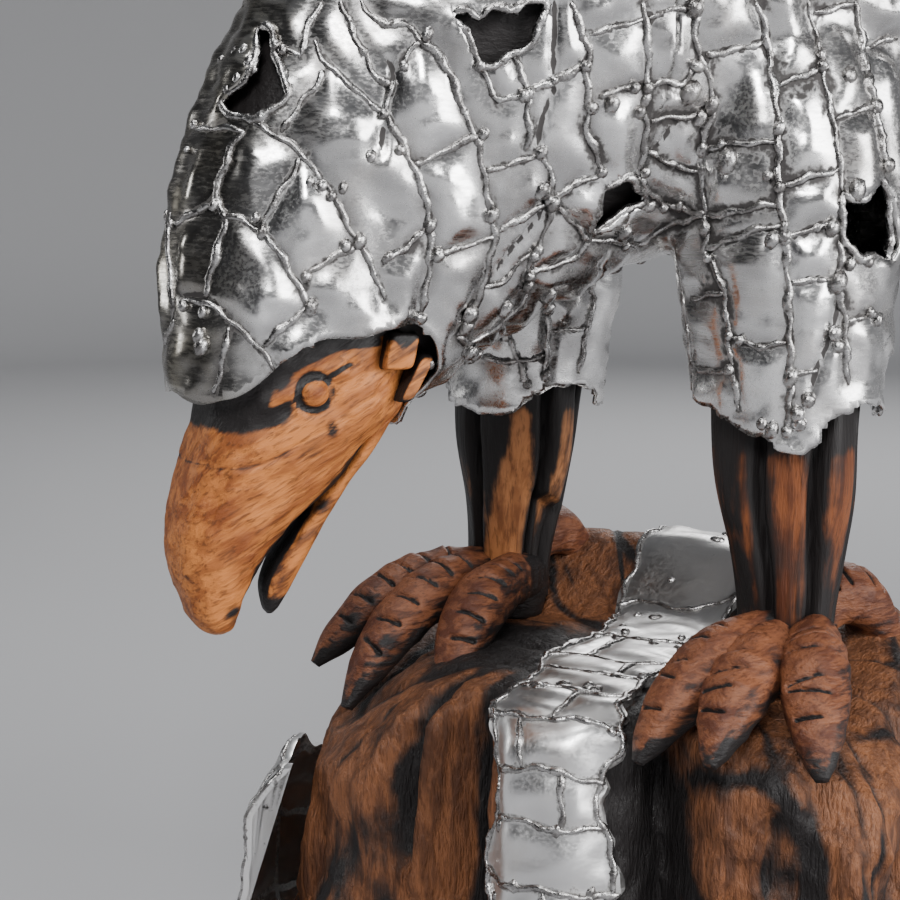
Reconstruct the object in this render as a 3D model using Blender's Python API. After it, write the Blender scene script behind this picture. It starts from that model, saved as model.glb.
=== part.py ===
"""An eagle carved from charred wood, dressed in a coat of welded sheet metal, on a burnt stump.

The bird looks along -Y with its head bowed, its left side at +X, and stands on the stump's top.
The origin is the middle of the stump's flat underside. All sizes are in metres.
"""

import math

import bmesh
import bpy
import numpy as np
from mathutils import Vector
from mathutils.bvhtree import BVHTree

# Driving sizes
FIGURE_HEIGHT = 0.460      # sole to the top of the back
STUMP_HEIGHT = 0.212       # underside to the soles
STUMP_RADIUS = 0.150       # at its top edge
SHEET = 0.0025             # wall of the coat, weld build-up included
AIR_GAP = 0.0055           # between the coat and the wood under it
SEAT_GAP = 0.0003          # between touching pieces
STRIP_WIDTH = 0.060        # metal strip over the stump
STRIP_THICKNESS = 0.005
STRIP_SINK = 0.0028        # how far the strip lies in the wood
SIDE_SHEET_THICKNESS = 0.003

# The figure is laid out on a grid of 460 parts from sole to back: forward of the legs, to its left, up
GRID = 460
UNIT = FIGURE_HEIGHT / GRID
HEAD_TURN = math.radians(18)   # the head is turned to the bird's right
TURN_START = 80                # parts forward of the legs where the neck starts to turn
TURN_SOFTNESS = 30

WOOD_COLOUR = (0.42, 0.20, 0.09, 1)
METAL_COLOUR = (0.62, 0.61, 0.60, 1)
STUMP_COLOUR = (0.30, 0.15, 0.07, 1)


def material(name, colour, roughness, metallic):
    """A plain finish of one colour."""
    made = bpy.data.materials.new(name)
    made.use_nodes = True
    shader = made.node_tree.nodes["Principled BSDF"]
    shader.inputs["Base Color"].default_value = colour
    shader.inputs["Roughness"].default_value = roughness
    shader.inputs["Metallic"].default_value = metallic
    return made


def smooth_rows(rows, count):
    """Rows of numbers, resampled to count rows on a Catmull-Rom curve through them."""
    rows = np.array(rows, float)
    padded = np.vstack([2 * rows[0] - rows[1], rows, 2 * rows[-1] - rows[-2]])
    spots = np.linspace(0, len(rows) - 1, count)
    first = np.minimum(spots.astype(int), len(rows) - 2)
    t = (spots - first)[:, None]
    a, b, c, d = (padded[first + k] for k in range(4))
    return 0.5 * (2 * b + (c - a) * t + (2 * a - 5 * b + 4 * c - d) * t**2 + (3 * b - a - 3 * c + d) * t**3)


def place(forward, side, up):
    """Grid parts to metres. Past TURN_START the centre line swings to the bird's right by HEAD_TURN."""
    forward, side, up = (np.asarray(v, float) for v in (forward, side, up))
    ahead = forward - TURN_START
    ramp = (ahead + np.hypot(ahead, TURN_SOFTNESS)) / 2
    slope = (1 + ahead / np.hypot(ahead, TURN_SOFTNESS)) / 2
    turn = HEAD_TURN * slope
    x = -math.sin(HEAD_TURN) * ramp + side * np.cos(turn)
    y = -forward + (1 - math.cos(HEAD_TURN)) * ramp - side * np.sin(turn)
    return np.stack([x * UNIT, y * UNIT, STUMP_HEIGHT + up * UNIT], axis=-1)


def squared_circle(count, squareness):
    """Cosine and sine round a circle, pushed outwards to a superellipse of that exponent."""
    turn = np.linspace(0, 2 * math.pi, count, endpoint=False)
    c, s = np.cos(turn), np.sin(turn)
    power = 2 / squareness
    return np.sign(c) * np.abs(c) ** power, np.sign(s) * np.abs(s) ** power


def profile_rings(stations, rings, around, inset=0.0, squareness=2.2):
    """Rings between a lower and an upper profile.

    A station is (lower forward, lower up, upper forward, upper up, half width).
    """
    rows = smooth_rows(stations, rings)
    inset = inset / UNIT
    c, s = squared_circle(around, squareness)
    found = []
    for low_f, low_u, high_f, high_u, half_width in rows:
        half = np.array([high_f - low_f, high_u - low_u]) / 2
        length = np.hypot(*half)
        half = half * (length - inset) / length
        middle_f, middle_u = (low_f + high_f) / 2, (low_u + high_u) / 2
        found.append(place(middle_f + half[0] * s, (half_width - inset) * c, middle_u + half[1] * s))
    return np.array(found)


def path_rings(stations, rings, around, inset=0.0, squareness=2.2, where=place):
    """Rings round a free path, whose own width lies level.

    A station is (forward, side, up, half across, half thick).
    """
    rows = smooth_rows(stations, rings)
    inset = inset / UNIT
    c, s = squared_circle(around, squareness)
    along = np.gradient(rows[:, :3], axis=0)
    along /= np.linalg.norm(along, axis=1)[:, None]
    level = np.cross(along, (0, 0, 1.0))
    level /= np.linalg.norm(level, axis=1)[:, None]
    thick = np.cross(level, along)
    rows[0, :3] += along[0] * inset
    rows[-1, :3] -= along[-1] * inset
    found = []
    for row, across, through in zip(rows, level, thick):
        points = row[:3] + np.outer(c * (row[3] - inset), across) + np.outer(s * (row[4] - inset), through)
        found.append(where(*points.T))
    return np.array(found)


def solid(name, rings):
    """A closed mesh object from rings of points, with both ends capped."""
    rings = np.asarray(rings, float)
    count, around = rings.shape[:2]
    mesh = bmesh.new()
    verts = [[mesh.verts.new(p) for p in ring] for ring in rings]
    for near, far in zip(verts, verts[1:]):
        for k in range(around):
            after = (k + 1) % around
            mesh.faces.new((near[k], near[after], far[after]))
            mesh.faces.new((near[k], far[after], far[k]))
    mesh.faces.new(verts[0][::-1])
    mesh.faces.new(verts[-1])
    bmesh.ops.recalc_face_normals(mesh, faces=mesh.faces)
    bmesh.ops.triangulate(mesh, faces=[f for f in mesh.faces if len(f.verts) > 3])
    data = bpy.data.meshes.new(name)
    mesh.to_mesh(data)
    mesh.free()
    made = bpy.data.objects.new(name, data)
    bpy.context.scene.collection.objects.link(made)
    return made


def helper(made):
    """Marks an object that only cuts or joins another."""
    made.hide_render = True
    made.display_type = "WIRE"
    return made


def combine(target, others, operation):
    """Joins the helpers to the target, or cuts them from it, one after another."""
    for other in others:
        step = target.modifiers.new(f"{operation.lower()} {other.name}", "BOOLEAN")
        step.object = helper(other)
        step.operation = operation
        step.solver = "EXACT"
    return target


def stand(forward, side, up):
    """Grid parts to metres for what stands on the stump, with no turn."""
    forward, side, up = np.broadcast_arrays(forward, side, up)
    return np.stack([side * UNIT, -forward * UNIT, STUMP_HEIGHT + up * UNIT], axis=-1)


def column_rings(stations, rings, around, inset=0.0, flutes=0, flute_depth=0.0):
    """Level rings round an upright column. A station is (forward, side, up, radius)."""
    rows = smooth_rows(stations, rings)
    rows[0, 2] += inset / UNIT
    rows[-1, 2] -= inset / UNIT
    turn = np.linspace(0, 2 * math.pi, around, endpoint=False)
    wave = 1 + flute_depth * np.cos(flutes * turn)
    found = []
    for forward, side, up, radius in rows:
        reach = (radius - inset / UNIT) * wave
        found.append(stand(forward + reach * np.cos(turn), side + reach * np.sin(turn), up))
    return np.array(found)


def bearing_curve(pairs, bearing):
    """A smooth closed curve through (bearing, value) pairs. Bearing 0 is forward, 90 to the bird's left."""
    pairs = sorted(pairs)
    angles = np.array([p[0] for p in pairs], float)
    values = np.array([p[1] for p in pairs], float)
    angles = np.concatenate([angles[-1:] - 360, angles, angles[:1] + 360])
    values = np.concatenate([values[-1:], values, values[:1]])
    wrapped = (np.asarray(bearing, float) - angles[1]) % 360 + angles[1]
    spot = np.interp(wrapped, angles, np.arange(len(angles)))
    first = np.minimum(spot.astype(int), len(angles) - 2)
    t = spot - first
    ease = t * t * (3 - 2 * t)
    return values[first] * (1 - ease) + values[first + 1] * ease


# The coat: hood, neck and body in one, from under the brow to the rump
BODY = [
    # lower forward, lower up, upper forward, upper up, half width
    (152, 118, 254, 126, 43),
    (146, 135, 255, 150, 46),
    (136, 142, 256, 188, 50),
    (124, 148, 250, 233, 54),
    (110, 156, 236, 275, 58),
    (92, 166, 214, 318, 64),
    (70, 179, 180, 368, 75),
    (44, 192, 130, 414, 92),
    (12, 198, 70, 446, 114),
    (-25, 203, 5, 460, 131),
    (-65, 219, -60, 458, 136),
    (-110, 235, -125, 436, 123),
    (-155, 255, -182, 400, 98),
    (-200, 275, -232, 362, 74),
    (-240, 291, -266, 336, 58),
    (-274, 304, -304, 316, 46),
]
REAR_RUN = 1.5             # the hollow's last ring lies this many ring spacings on from the one before it
COAT_RINGS, COAT_AROUND = 20, 16
THIGH = [
    # forward, side, up, radius
    (0, 95, 86, 41),
    (0, 94, 110, 42),
    (0, 93, 134, 43.5),
    (0, 91, 165, 47),
    (0, 90, 200, 51),
    (0, 89, 235, 54),
    (0, 84, 272, 54),
    (-2, 76, 306, 48),
    (-4, 68, 335, 34),
]
WING = [
    # forward, side, up, half thick, half deep, lean of its top towards the body in degrees
    (84, 84, 356, 8, 14, 15),
    (62, 104, 366, 15, 36, 20),
    (20, 116, 376, 20, 50, 24),
    (-45, 120, 380, 21, 54, 27),
    (-115, 107, 368, 18, 50, 31),
    (-185, 82, 350, 14, 42, 36),
    (-255, 59, 336, 10, 32, 41),
    (-325, 48, 334, 8, 20, 44),
]
WING_AROUND = 8
WING_KEEP = 0.3            # an inset leaves a wing at least this share of its own size
# Behind the coat's rear hem the wing tips are bare wood
WING_TIPS = [(-325, 48, 334, 14, 28, 44), (-388, 40, 322, 10, 13, 45)]
# The hood's hem in the head's own plane, forward and up, from the brow round to the throat
FACE_OPENING = [
    (300, 158), (262, 154), (250, 142), (240, 144), (232, 147), (222, 155), (212, 165), (200, 171),
    (185, 171), (172, 175), (156, 177), (141, 172), (133, 161), (134, 149), (139, 134), (137, 100), (300, 100),
]
FACE_REACH = 90            # how far the opening's cutter runs to each side
# Hems of the two trouser legs: (bearing, up)
LEFT_HEM = [
    (-40, 142), (-19, 134), (22, 123), (39, 117), (50, 115), (58, 120), (68, 131), (78, 134), (94, 138),
    (110, 135), (140, 128), (175, 134), (205, 122), (235, 132), (275, 127), (300, 137),
]
RIGHT_HEM = [
    (-22, 128), (-7, 117), (28, 113), (43, 115), (61, 124), (74, 128), (92, 128), (111, 124), (120, 115),
    (140, 120), (175, 130), (210, 119), (250, 129), (290, 121), (320, 131),
]
HEM_REACH = 66             # radius of a hem's cutter
HEM_FLOOR = 60             # height where the cutter starts, under the trousers
HEM_AROUND = 20
HEM_CROWN = 0.25           # share of the radius where the cutter's top turns flat
REAR_HEM = [(-238, 200), (-249, 296), (-236, 311), (-261, 333), (-250, 352), (-262, 420), (-380, 420), (-380, 200)]
REAR_REACH = 95
# Torn holes: forward, side, up of the middle, half width, half height, and the bearing and pitch it faces
HOLES = [
    ("crown", 224, -13, 279, 12, 20, 33, 14),
    ("neck", 148, 56, 302, 21, 12, 57, -3),
    ("flank", 83, 64, 228, 12, 10, 77, -27),
    ("thigh", 8, 139, 218, 11, 18, 75, -5),
]
HOLE_REACH = (-11, 18)     # how far a hole's cutter runs in and out along the way it faces
HOLE_AROUND, HOLE_RAGGEDNESS = 7, 0.22


def wing_rings(side_sign, stations, inset):
    """A folded wing: a deep thin blade along the body, leaning on it. The inset never eats a station up."""
    rows = smooth_rows(stations, len(stations))
    rows[:, 1] *= side_sign
    inset = inset / UNIT
    c, s = squared_circle(WING_AROUND, 2.2)
    along = np.gradient(rows[:, :3], axis=0)
    along /= np.linalg.norm(along, axis=1)[:, None]
    level = np.cross(along, (0, 0, 1.0))
    level /= np.linalg.norm(level, axis=1)[:, None]
    upright = np.cross(level, along)
    rows[0, :3] += along[0] * inset
    rows[-1, :3] -= along[-1] * inset
    found = []
    for row, across, rise in zip(rows, level, upright):
        lean = math.radians(row[5]) * side_sign
        across, rise = (
            across * math.cos(lean) + rise * math.sin(lean),
            rise * math.cos(lean) - across * math.sin(lean),
        )
        thick = max(row[3] - inset, row[3] * WING_KEEP)
        deep = max(row[4] - inset, row[4] * WING_KEEP)
        points = row[:3] + np.outer(c * thick, across) + np.outer(s * deep, rise)
        found.append(place(*points.T))
    return np.array(found)


def mirrored(stations, index=1):
    """The same stations for the bird's right side."""
    return [tuple(-v if k == index else v for k, v in enumerate(row)) for row in stations]


def side_of(stations, sign):
    return stations if sign > 0 else mirrored(stations)


def coat_volume(name, inset):
    """The coat's outer shape, or with an inset the space inside it, which runs out past the rear hem."""
    rings = profile_rings(BODY, COAT_RINGS, COAT_AROUND, inset)
    if inset:
        rings[-1] = rings[-2] + (rings[-1] - rings[-2]) * REAR_RUN
    others = []
    for side, sign in (("left", 1), ("right", -1)):
        others.append(solid(f"{name} {side} trouser", column_rings(side_of(THIGH, sign), 8, 12, inset)))
        others.append(solid(f"{name} {side} wing", wing_rings(sign, WING, inset)))
    return combine(solid(name, rings), others, "UNION")


def prism(name, outline, reach):
    """A solid from an outline of (forward, up) points, run out to each side by reach."""
    forward, up = np.array(outline, float).T
    return solid(name, [place(forward, -reach, up), place(forward, reach, up)])


def hem_cutter(name, side, hem):
    """What is cut off below a trouser leg's scalloped hem."""
    bearing = np.linspace(5, 365, HEM_AROUND, endpoint=False)
    turn = np.radians(bearing)
    forward, across = HEM_REACH * np.cos(turn), side + HEM_REACH * np.sin(turn)
    top = bearing_curve(hem, bearing)
    middle = np.full_like(top, top.mean())
    rings = [
        stand(forward, across, HEM_FLOOR),
        stand(forward, across, top),
        stand(forward * HEM_CROWN, side + (across - side) * HEM_CROWN, middle),
    ]
    return solid(name, rings)


def hole_cutter(name, forward, side, up, half_width, half_height, bearing, pitch):
    """A short bar of irregular outline, pointing along the hole's facing direction."""
    turn = np.linspace(0, 2 * math.pi, HOLE_AROUND, endpoint=False)
    ragged = 1 + HOLE_RAGGEDNESS * np.cos(3 * turn + forward)
    a, p = math.radians(bearing), math.radians(pitch)
    facing = np.array([math.cos(a) * math.cos(p), math.sin(a) * math.cos(p), math.sin(p)])
    level = np.array([-math.sin(a), math.cos(a), 0])
    rise = np.cross(facing, level)
    ring = np.outer(half_width * ragged * np.cos(turn), level) + np.outer(half_height * ragged * np.sin(turn), rise)
    ends = [np.array([forward, side, up]) + ring + facing * reach for reach in HOLE_REACH]
    return solid(name, [stand(*points.T) for points in ends])


def metal_coat(finish):
    """The welded coat: the outer shape less the space inside, open at the face, the hems and the torn holes."""
    coat = coat_volume("metal_coat", 0.0)
    inside = coat_volume("coat hollow", SHEET)
    cutters = [
        inside,
        prism("face opening", FACE_OPENING, FACE_REACH),
        hem_cutter("left hem", 94, LEFT_HEM),
        hem_cutter("right hem", -94, RIGHT_HEM),
        prism("rear hem", REAR_HEM, REAR_REACH),
    ]
    cutters += [hole_cutter(f"{hole[0]} hole", *hole[1:]) for hole in HOLES]
    combine(coat, cutters, "DIFFERENCE")
    coat.data.materials.append(finish)
    return coat


# The carved bird. Head and upper beak: rear forward, rear up, front forward, front up, half width
HEAD = [
    (146, 215, 234, 222, 34),
    (146, 190, 241, 192, 38),
    (144, 166, 244, 170, 40),
    (144, 149, 243, 151, 40),
    (148, 134, 242, 136, 39),
    (165, 119, 248, 117, 36),
    (179, 102, 253, 98, 32),
    (199, 86, 255, 80, 27),
    (213, 69, 252, 64, 22),
    (222, 54, 245, 51, 17),
    (226, 42, 242, 41, 13),
    (228, 34, 238, 33, 7),
]
LOWER_BEAK = [
    (152, 134, 172, 124, 27),
    (161, 118, 181, 107, 23),
    (172, 102, 190, 95, 19),
    (182, 86, 200, 79, 16),
    (191, 69, 208, 66, 12.5),
    (199, 55, 213, 55, 8.5),
    (205, 45, 211, 44, 4),
]
LEG = [
    # forward, side, up, radius
    (0, 97, 6, 23),
    (0, 97, 32, 23),
    (0, 96, 62, 27),
    (0, 95, 95, 32.5),
    (0, 94, 128, 34.5),
    (0, 92, 165, 36),
    (0, 90, 215, 42),
    (0, 90, 260, 42),
]
LEG_FLUTES, FLUTE_DEPTH = 4, 0.07
FOOT_HUB = [(-3, 24), (11, 29), (25, 28), (36, 19)]    # up, radius
LEFT_ANKLE, RIGHT_ANKLE = 97, -103
# Toes: ankle, bearing, length, how far the tip hangs under the sole, whether it arches up behind
TOES = [
    (LEFT_ANKLE, 0, 100, 20, 0), (LEFT_ANKLE, 22, 101, 14, 0), (LEFT_ANKLE, 50, 99, 17, 0),
    (LEFT_ANKLE, 172, 72, 2, 22),
    (RIGHT_ANKLE, -12, 117, 18, 0), (RIGHT_ANKLE, 4, 119, 34, 0), (RIGHT_ANKLE, 29, 99, 20, 0),
    (RIGHT_ANKLE, -172, 72, 2, 22),
]
TOE_SECTIONS = [
    # share of the length, half width, half height
    (0.06, 13, 14), (0.26, 16.5, 16), (0.48, 17, 16), (0.68, 16, 14.5), (0.84, 12.5, 11), (0.95, 8, 6.5),
    (1.0, 4, 3.5),
]
TOE_MIDDLE = 16            # height of a toe's middle at the ankle
EYE = (203, 40, 145, 8, 5)        # forward, side, up, radius, how far it stands out
EAR = (158, 38, 168, 11, 7)
# The fanned tail: where it starts and how far it runs, its half width there and at the end, and its drop
TAIL_ROOT, TAIL_LENGTH, TAIL_HALF_WIDTHS, TAIL_DROP = (-205, 327), 225, (28, 80), 76
TAIL_FEATHERS = 5
TAIL_HALF_THICKS = (13, 4)
NOTCH = 0.10               # how far the notch between two feathers runs in, as a share of the tail's length


def toe_rings(ankle, bearing, length, drop, arch, inset, rings=7, around=8):
    """One toe: level out from the ankle, then curving down to its talon."""
    turn = math.radians(bearing)
    rows = []
    for share, half_width, half_height in TOE_SECTIONS:
        up = TOE_MIDDLE + (4 + arch) * math.sin(math.pi * min(share, 1)) - (TOE_MIDDLE + drop) * share**3
        reach = share * length
        rows.append((reach * math.cos(turn), ankle + reach * math.sin(turn), up, half_width, half_height))
    return path_rings(rows, rings, around, inset, 2.7, stand)


def foot_solids(name, inset):
    """The hubs, leg ends and toes as separate solids, thinner by the inset, to be joined or to cut a seat."""
    made = []
    for ankle in (LEFT_ANKLE, RIGHT_ANKLE):
        hub = [(0, ankle, up, radius) for up, radius in FOOT_HUB]
        made.append(solid(f"{name} hub {ankle}", column_rings(hub, 4, 11, inset)))
    for count, toe in enumerate(TOES, 1):
        made.append(solid(f"{name} toe {count}", toe_rings(*toe, inset)))
    return made


def stud(name, sign, forward, side, up, radius, proud):
    """A short round block that stands out of the side of the head."""
    turn = np.linspace(0, 2 * math.pi, 9, endpoint=False)
    rings = []
    for share, reach in ((1.0, -9), (1.0, proud * 0.5), (0.55, proud)):
        ahead, rise = radius * share * np.cos(turn), radius * share * np.sin(turn)
        rings.append(place(forward + ahead, sign * (side + reach), up + rise))
    return solid(name, rings)


def tail_fan():
    """The tail: a flat fan of blades side by side, ridged along each blade and scalloped at its end."""
    across = np.linspace(-1, 1, TAIL_FEATHERS * 2 + 1)
    crest = np.arange(len(across)) % 2
    rings = []
    for reach in (0, 0.35, 0.7, 0.92, 1.0):
        length = reach * TAIL_LENGTH * (1 - NOTCH * across**2) * np.where(crest, 1, 1 - NOTCH * reach**4)
        half_width = np.interp(reach, (0, 1), TAIL_HALF_WIDTHS)
        half_thick = np.interp(reach, (0, 1), TAIL_HALF_THICKS) * (0.65 + 0.35 * crest) * (1 - 0.3 * across**2)
        forward = TAIL_ROOT[0] - length
        middle = TAIL_ROOT[1] - TAIL_DROP * reach**1.2 - 8 * across**2
        top = place(forward, across * half_width, middle + half_thick)
        under = place(forward, across * half_width, middle - half_thick)
        rings.append(np.concatenate([top, under[::-1]]))
    return solid("tail", rings)


def carved_eagle(finish):
    """The bird in one piece of wood: core, head, open beak, legs, toes and tail."""
    under = SHEET + AIR_GAP
    core = solid("carved_eagle", profile_rings(BODY[3:], 14, 14, under))
    others = [solid("head", profile_rings(HEAD, 12, 14, 0.0, 2.5))]
    others.append(solid("lower beak", profile_rings(LOWER_BEAK, 8, 10, 0.0, 2.3)))
    for side, sign in (("left", 1), ("right", -1)):
        ankle = LEFT_ANKLE if sign > 0 else RIGHT_ANKLE
        leg = [(f, sign * s + (ankle - sign * LEFT_ANKLE) * max(0, 1 - u / 128), u, r) for f, s, u, r in LEG]
        others.append(solid(f"{side} leg", column_rings(leg, 8, 12, 0.0, LEG_FLUTES, FLUTE_DEPTH)))
        others.append(solid(f"{side} wing core", wing_rings(sign, WING[1:7] + WING_TIPS, under)))
        others.append(stud(f"{side} eye", sign, *EYE))
        others.append(stud(f"{side} ear", sign, *EAR))
    others += foot_solids("foot", 0.0)
    others.append(tail_fan())
    combine(core, others, "UNION")
    core.data.materials.append(finish)
    return core


# The stump: radius at its shoulder by bearing, in metres
SHOULDER = [
    (-180, 0.143), (-140, 0.152), (-100, 0.165), (-60, 0.172), (-40, 0.170), (-20, 0.160), (-10, 0.138), (0, 0.098),
    (10, 0.120), (20, 0.136), (30, 0.136), (40, 0.126), (50, 0.106), (60, 0.150), (70, 0.172), (80, 0.180),
    (100, 0.170), (130, 0.155), (160, 0.146),
]
# Its profile: share of the radius, share of the height below the top, how much of the shoulder's lobes shows
STUMP_PROFILE = [
    (0.0, 0.0, 0.0), (0.35, 0.0, 0.0), (0.66, 0.005, 0.15), (0.86, 0.03, 0.5), (0.96, 0.09, 0.8), (1.0, 0.19, 1.0),
    (1.01, 0.38, 1.0), (1.04, 0.60, 1.0), (1.07, 0.82, 0.85), (1.10, 1.0, 0.7),
]
# The top rises behind the feet, more to the bird's right: how high, from how far back, over what run
BACK_RISE, RISE_FROM, RISE_OVER, RISE_WIDENING, RISE_TILT = 0.034, 0.040, 0.060, 0.35, -2.0
TOP_DISH = 0.001           # the top lies this far under the soles
# The right front of the top falls away towards its edge: by how much, at what bearing, over what spread
SHOULDER_FALL, FALL_BEARING, FALL_SPREAD = 0.034, -38, 26
FALL_FLARE = 0.07          # the lobe there spreads this much more than the rest by the underside
STUMP_AROUND, STUMP_RINGS = 36, 13


def stump_rings():
    """The stump's surface as rings from the top's middle to the underside."""
    rows = smooth_rows(STUMP_PROFILE, STUMP_RINGS)
    bearing = np.linspace(-180, 180, STUMP_AROUND, endpoint=False)
    turn = np.radians(bearing)
    lobes = bearing_curve(SHOULDER, bearing)
    near_fall = np.exp(-(((bearing - FALL_BEARING) / FALL_SPREAD) ** 2))
    found = []
    for share, down, shown in rows[1:]:
        share, down, shown = max(share, 0.02), min(max(down, 0), 1), min(max(shown, 0), 1)
        radius = share * (STUMP_RADIUS + (lobes - STUMP_RADIUS) * shown) * (1 + FALL_FLARE * near_fall * down)
        x, y = radius * np.sin(turn), -radius * np.cos(turn)
        ease = np.clip((y + RISE_WIDENING * np.abs(x) - RISE_FROM) / RISE_OVER, 0, 1)
        rise = BACK_RISE * (1 + RISE_TILT * x) * ease * ease * (3 - 2 * ease)
        fall = SHOULDER_FALL * near_fall * min(max((share - 0.55) / 0.4, 0), 1) ** 1.5
        top = STUMP_HEIGHT - TOP_DISH + rise - fall
        found.append(np.stack([x, y, top * (1 - down)], axis=-1))
    return np.array(found)


# The strip over the stump, in the upright plane of its heading: where it is aimed from, and the pitch it faces
STRIP_HEADING = math.radians(25)
STRIP_RINGS = 22
STRIP_WAVE, STRIP_WAVE_RATE = 0.12, 1.7    # its edges run in and out by this share of its width, at this rate a ring
STRIP_MIDDLE_SIDE = 0.001          # the plane passes the stump's middle this far to the bird's left
STRIP_ROUTE = [
    # metres along the heading, metres below the soles, pitch in degrees
    (-0.085, 0.080, 172), (-0.085, 0.050, 150), (-0.070, 0.045, 118), (-0.035, 0.045, 95), (0.010, 0.045, 90),
    (0.050, 0.045, 84), (0.066, 0.048, 62), (0.068, 0.052, 36), (0.068, 0.062, 14), (0.068, 0.085, 3),
    (0.068, 0.115, 0), (0.068, 0.150, 0), (0.068, 0.190, 0),
]
# The sheet round the stump's right: bearing, clearance from the wood, its ragged top edge's depth below the soles
SIDE_SHEET = [
    (-36, 0.026, 0.062), (-44, 0.026, 0.070), (-53, 0.024, 0.062), (-63, 0.018, 0.078), (-74, 0.012, 0.066),
    (-85, 0.007, 0.086), (-96, 0.002, 0.076), (-106, -0.0045, 0.092),
]
# Its upright section: share of the height, share of the clearance there
SIDE_SHEET_CURL = [(0, 0.5), (0.4, 0.8), (0.82, 1.0), (1, 0.4)]
SIDE_SHEET_RINGS = 15
SIDE_SHEET_FOOT = 0.006            # the sheet ends this high above the underside
SEAT_REACH = 0.014                 # a seat is cut this far out from its piece, to leave no crumbs


def strip_solid(name, surface, margin, outward):
    """The strip as a band that follows the surface, grown by the margin on every side and by outward on its face."""
    heading = Vector((math.sin(STRIP_HEADING), -math.cos(STRIP_HEADING), 0))
    across = Vector((math.cos(STRIP_HEADING), math.sin(STRIP_HEADING), 0))
    rows = smooth_rows(STRIP_ROUTE, STRIP_RINGS)
    shares = (-1, -0.5, 0, 0.5, 1)
    found = []
    for count, (along, down, pitch) in enumerate(rows):
        pitch = math.radians(pitch)
        facing = heading * math.cos(pitch) + Vector((0, 0, math.sin(pitch)))
        half = STRIP_WIDTH / 2 * (1 + STRIP_WAVE * math.sin(STRIP_WAVE_RATE * count)) + margin
        lower, upper = [], []
        for share in shares:
            aim = heading * along + across * (STRIP_MIDDLE_SIDE + share * half) + Vector((0, 0, STUMP_HEIGHT - down))
            start = aim + facing * 2 * STUMP_RADIUS
            hit = surface.ray_cast(start, -facing)[0]
            lower.append(hit - facing * (STRIP_SINK + margin))
            upper.append(hit + facing * (STRIP_THICKNESS - STRIP_SINK + margin + outward))
        found.append(lower + upper[::-1])
    if margin:
        found[0] = [p - (Vector(q) - p).normalized() * margin for p, q in zip(found[0], found[1])]
        found[-1] = [p - (Vector(q) - p).normalized() * margin for p, q in zip(found[-1], found[-2])]
    return solid(name, found)


def side_sheet_solid(name, surface, margin, outward):
    """The curved sheet that stands off the stump on the bird's right and is let into it at its rear edge."""
    rows = smooth_rows(SIDE_SHEET, SIDE_SHEET_RINGS)
    rows[0, 0] += math.degrees(margin / STUMP_RADIUS)
    rows[-1, 0] -= math.degrees(margin / STUMP_RADIUS)
    found = []
    for bearing, clearance, top_down in rows:
        turn = math.radians(bearing)
        facing = Vector((math.sin(turn), -math.cos(turn), 0))
        low, high = SIDE_SHEET_FOOT - margin, STUMP_HEIGHT - top_down + margin
        inner, outer = [], []
        for share, curl in SIDE_SHEET_CURL:
            height = low + (high - low) * share
            start = facing * 3 * STUMP_RADIUS + Vector((0, 0, height))
            hit = surface.ray_cast(start, -facing)[0]
            off = clearance * curl if clearance > 0 else clearance
            inner.append(hit + facing * (off - margin))
            outer.append(hit + facing * (off + SIDE_SHEET_THICKNESS + margin + outward))
        found.append(inner + outer[::-1])
    return solid(name, found)


def stump_and_metal(wood, metal):
    """The stump with its seats cut, the strip over it and the sheet at its side."""
    stump = solid("stump", stump_rings())
    bare = BVHTree.FromObject(stump, bpy.context.evaluated_depsgraph_get())
    seats = foot_solids("seat", -SEAT_GAP)
    for name, shape in (("stump_strip", strip_solid), ("stump_side_sheet", side_sheet_solid)):
        piece = shape(name, bare, 0.0, 0.0)
        piece.data.materials.append(metal)
        seats.append(shape(f"{name} seat", bare, SEAT_GAP, SEAT_REACH))
    combine(stump, seats, "DIFFERENCE")
    stump.data.materials.append(wood)


def build():
    for old in list(bpy.data.objects):
        bpy.data.objects.remove(old)
    wood = material("charred wood", WOOD_COLOUR, 0.6, 0.0)
    metal = material("welded aluminium", METAL_COLOUR, 0.3, 1.0)
    root = material("burnt root", STUMP_COLOUR, 0.65, 0.0)
    metal_coat(metal)
    carved_eagle(wood)
    stump_and_metal(root, metal)


build()
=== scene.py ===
"""The looks of the eagle: welded metal coat, charred carved wood, burnt stump. Metres, +Z up."""

import math

import bpy
import numpy as np
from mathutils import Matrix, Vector
from mathutils.bvhtree import BVHTree


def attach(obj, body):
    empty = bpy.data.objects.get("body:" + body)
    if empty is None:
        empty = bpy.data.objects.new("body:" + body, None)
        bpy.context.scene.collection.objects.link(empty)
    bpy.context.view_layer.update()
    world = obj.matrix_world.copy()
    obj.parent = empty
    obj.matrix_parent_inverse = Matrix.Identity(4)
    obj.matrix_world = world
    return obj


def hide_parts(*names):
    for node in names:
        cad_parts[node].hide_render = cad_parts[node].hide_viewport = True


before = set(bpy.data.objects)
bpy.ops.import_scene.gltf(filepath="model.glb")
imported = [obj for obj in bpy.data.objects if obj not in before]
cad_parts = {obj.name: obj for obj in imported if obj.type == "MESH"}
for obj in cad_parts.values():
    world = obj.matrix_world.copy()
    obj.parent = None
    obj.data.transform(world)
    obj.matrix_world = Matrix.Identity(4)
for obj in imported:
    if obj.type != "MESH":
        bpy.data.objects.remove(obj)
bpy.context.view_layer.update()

# Camera, floor and light.
# The view of the photograph: a long lens from the bird's left front, a little above its head.
# The floor is one pale sheet that turns up into a wall all round, as in a photographer's cove.
CAMERA_PLACE = (0.7114, -0.7250, 0.4720)
CAMERA_BEARING, CAMERA_PITCH = 50, -9      # degrees, from +Y towards -X and above the level
CAMERA_LENS, SENSOR = 80.8, 36.0

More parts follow.
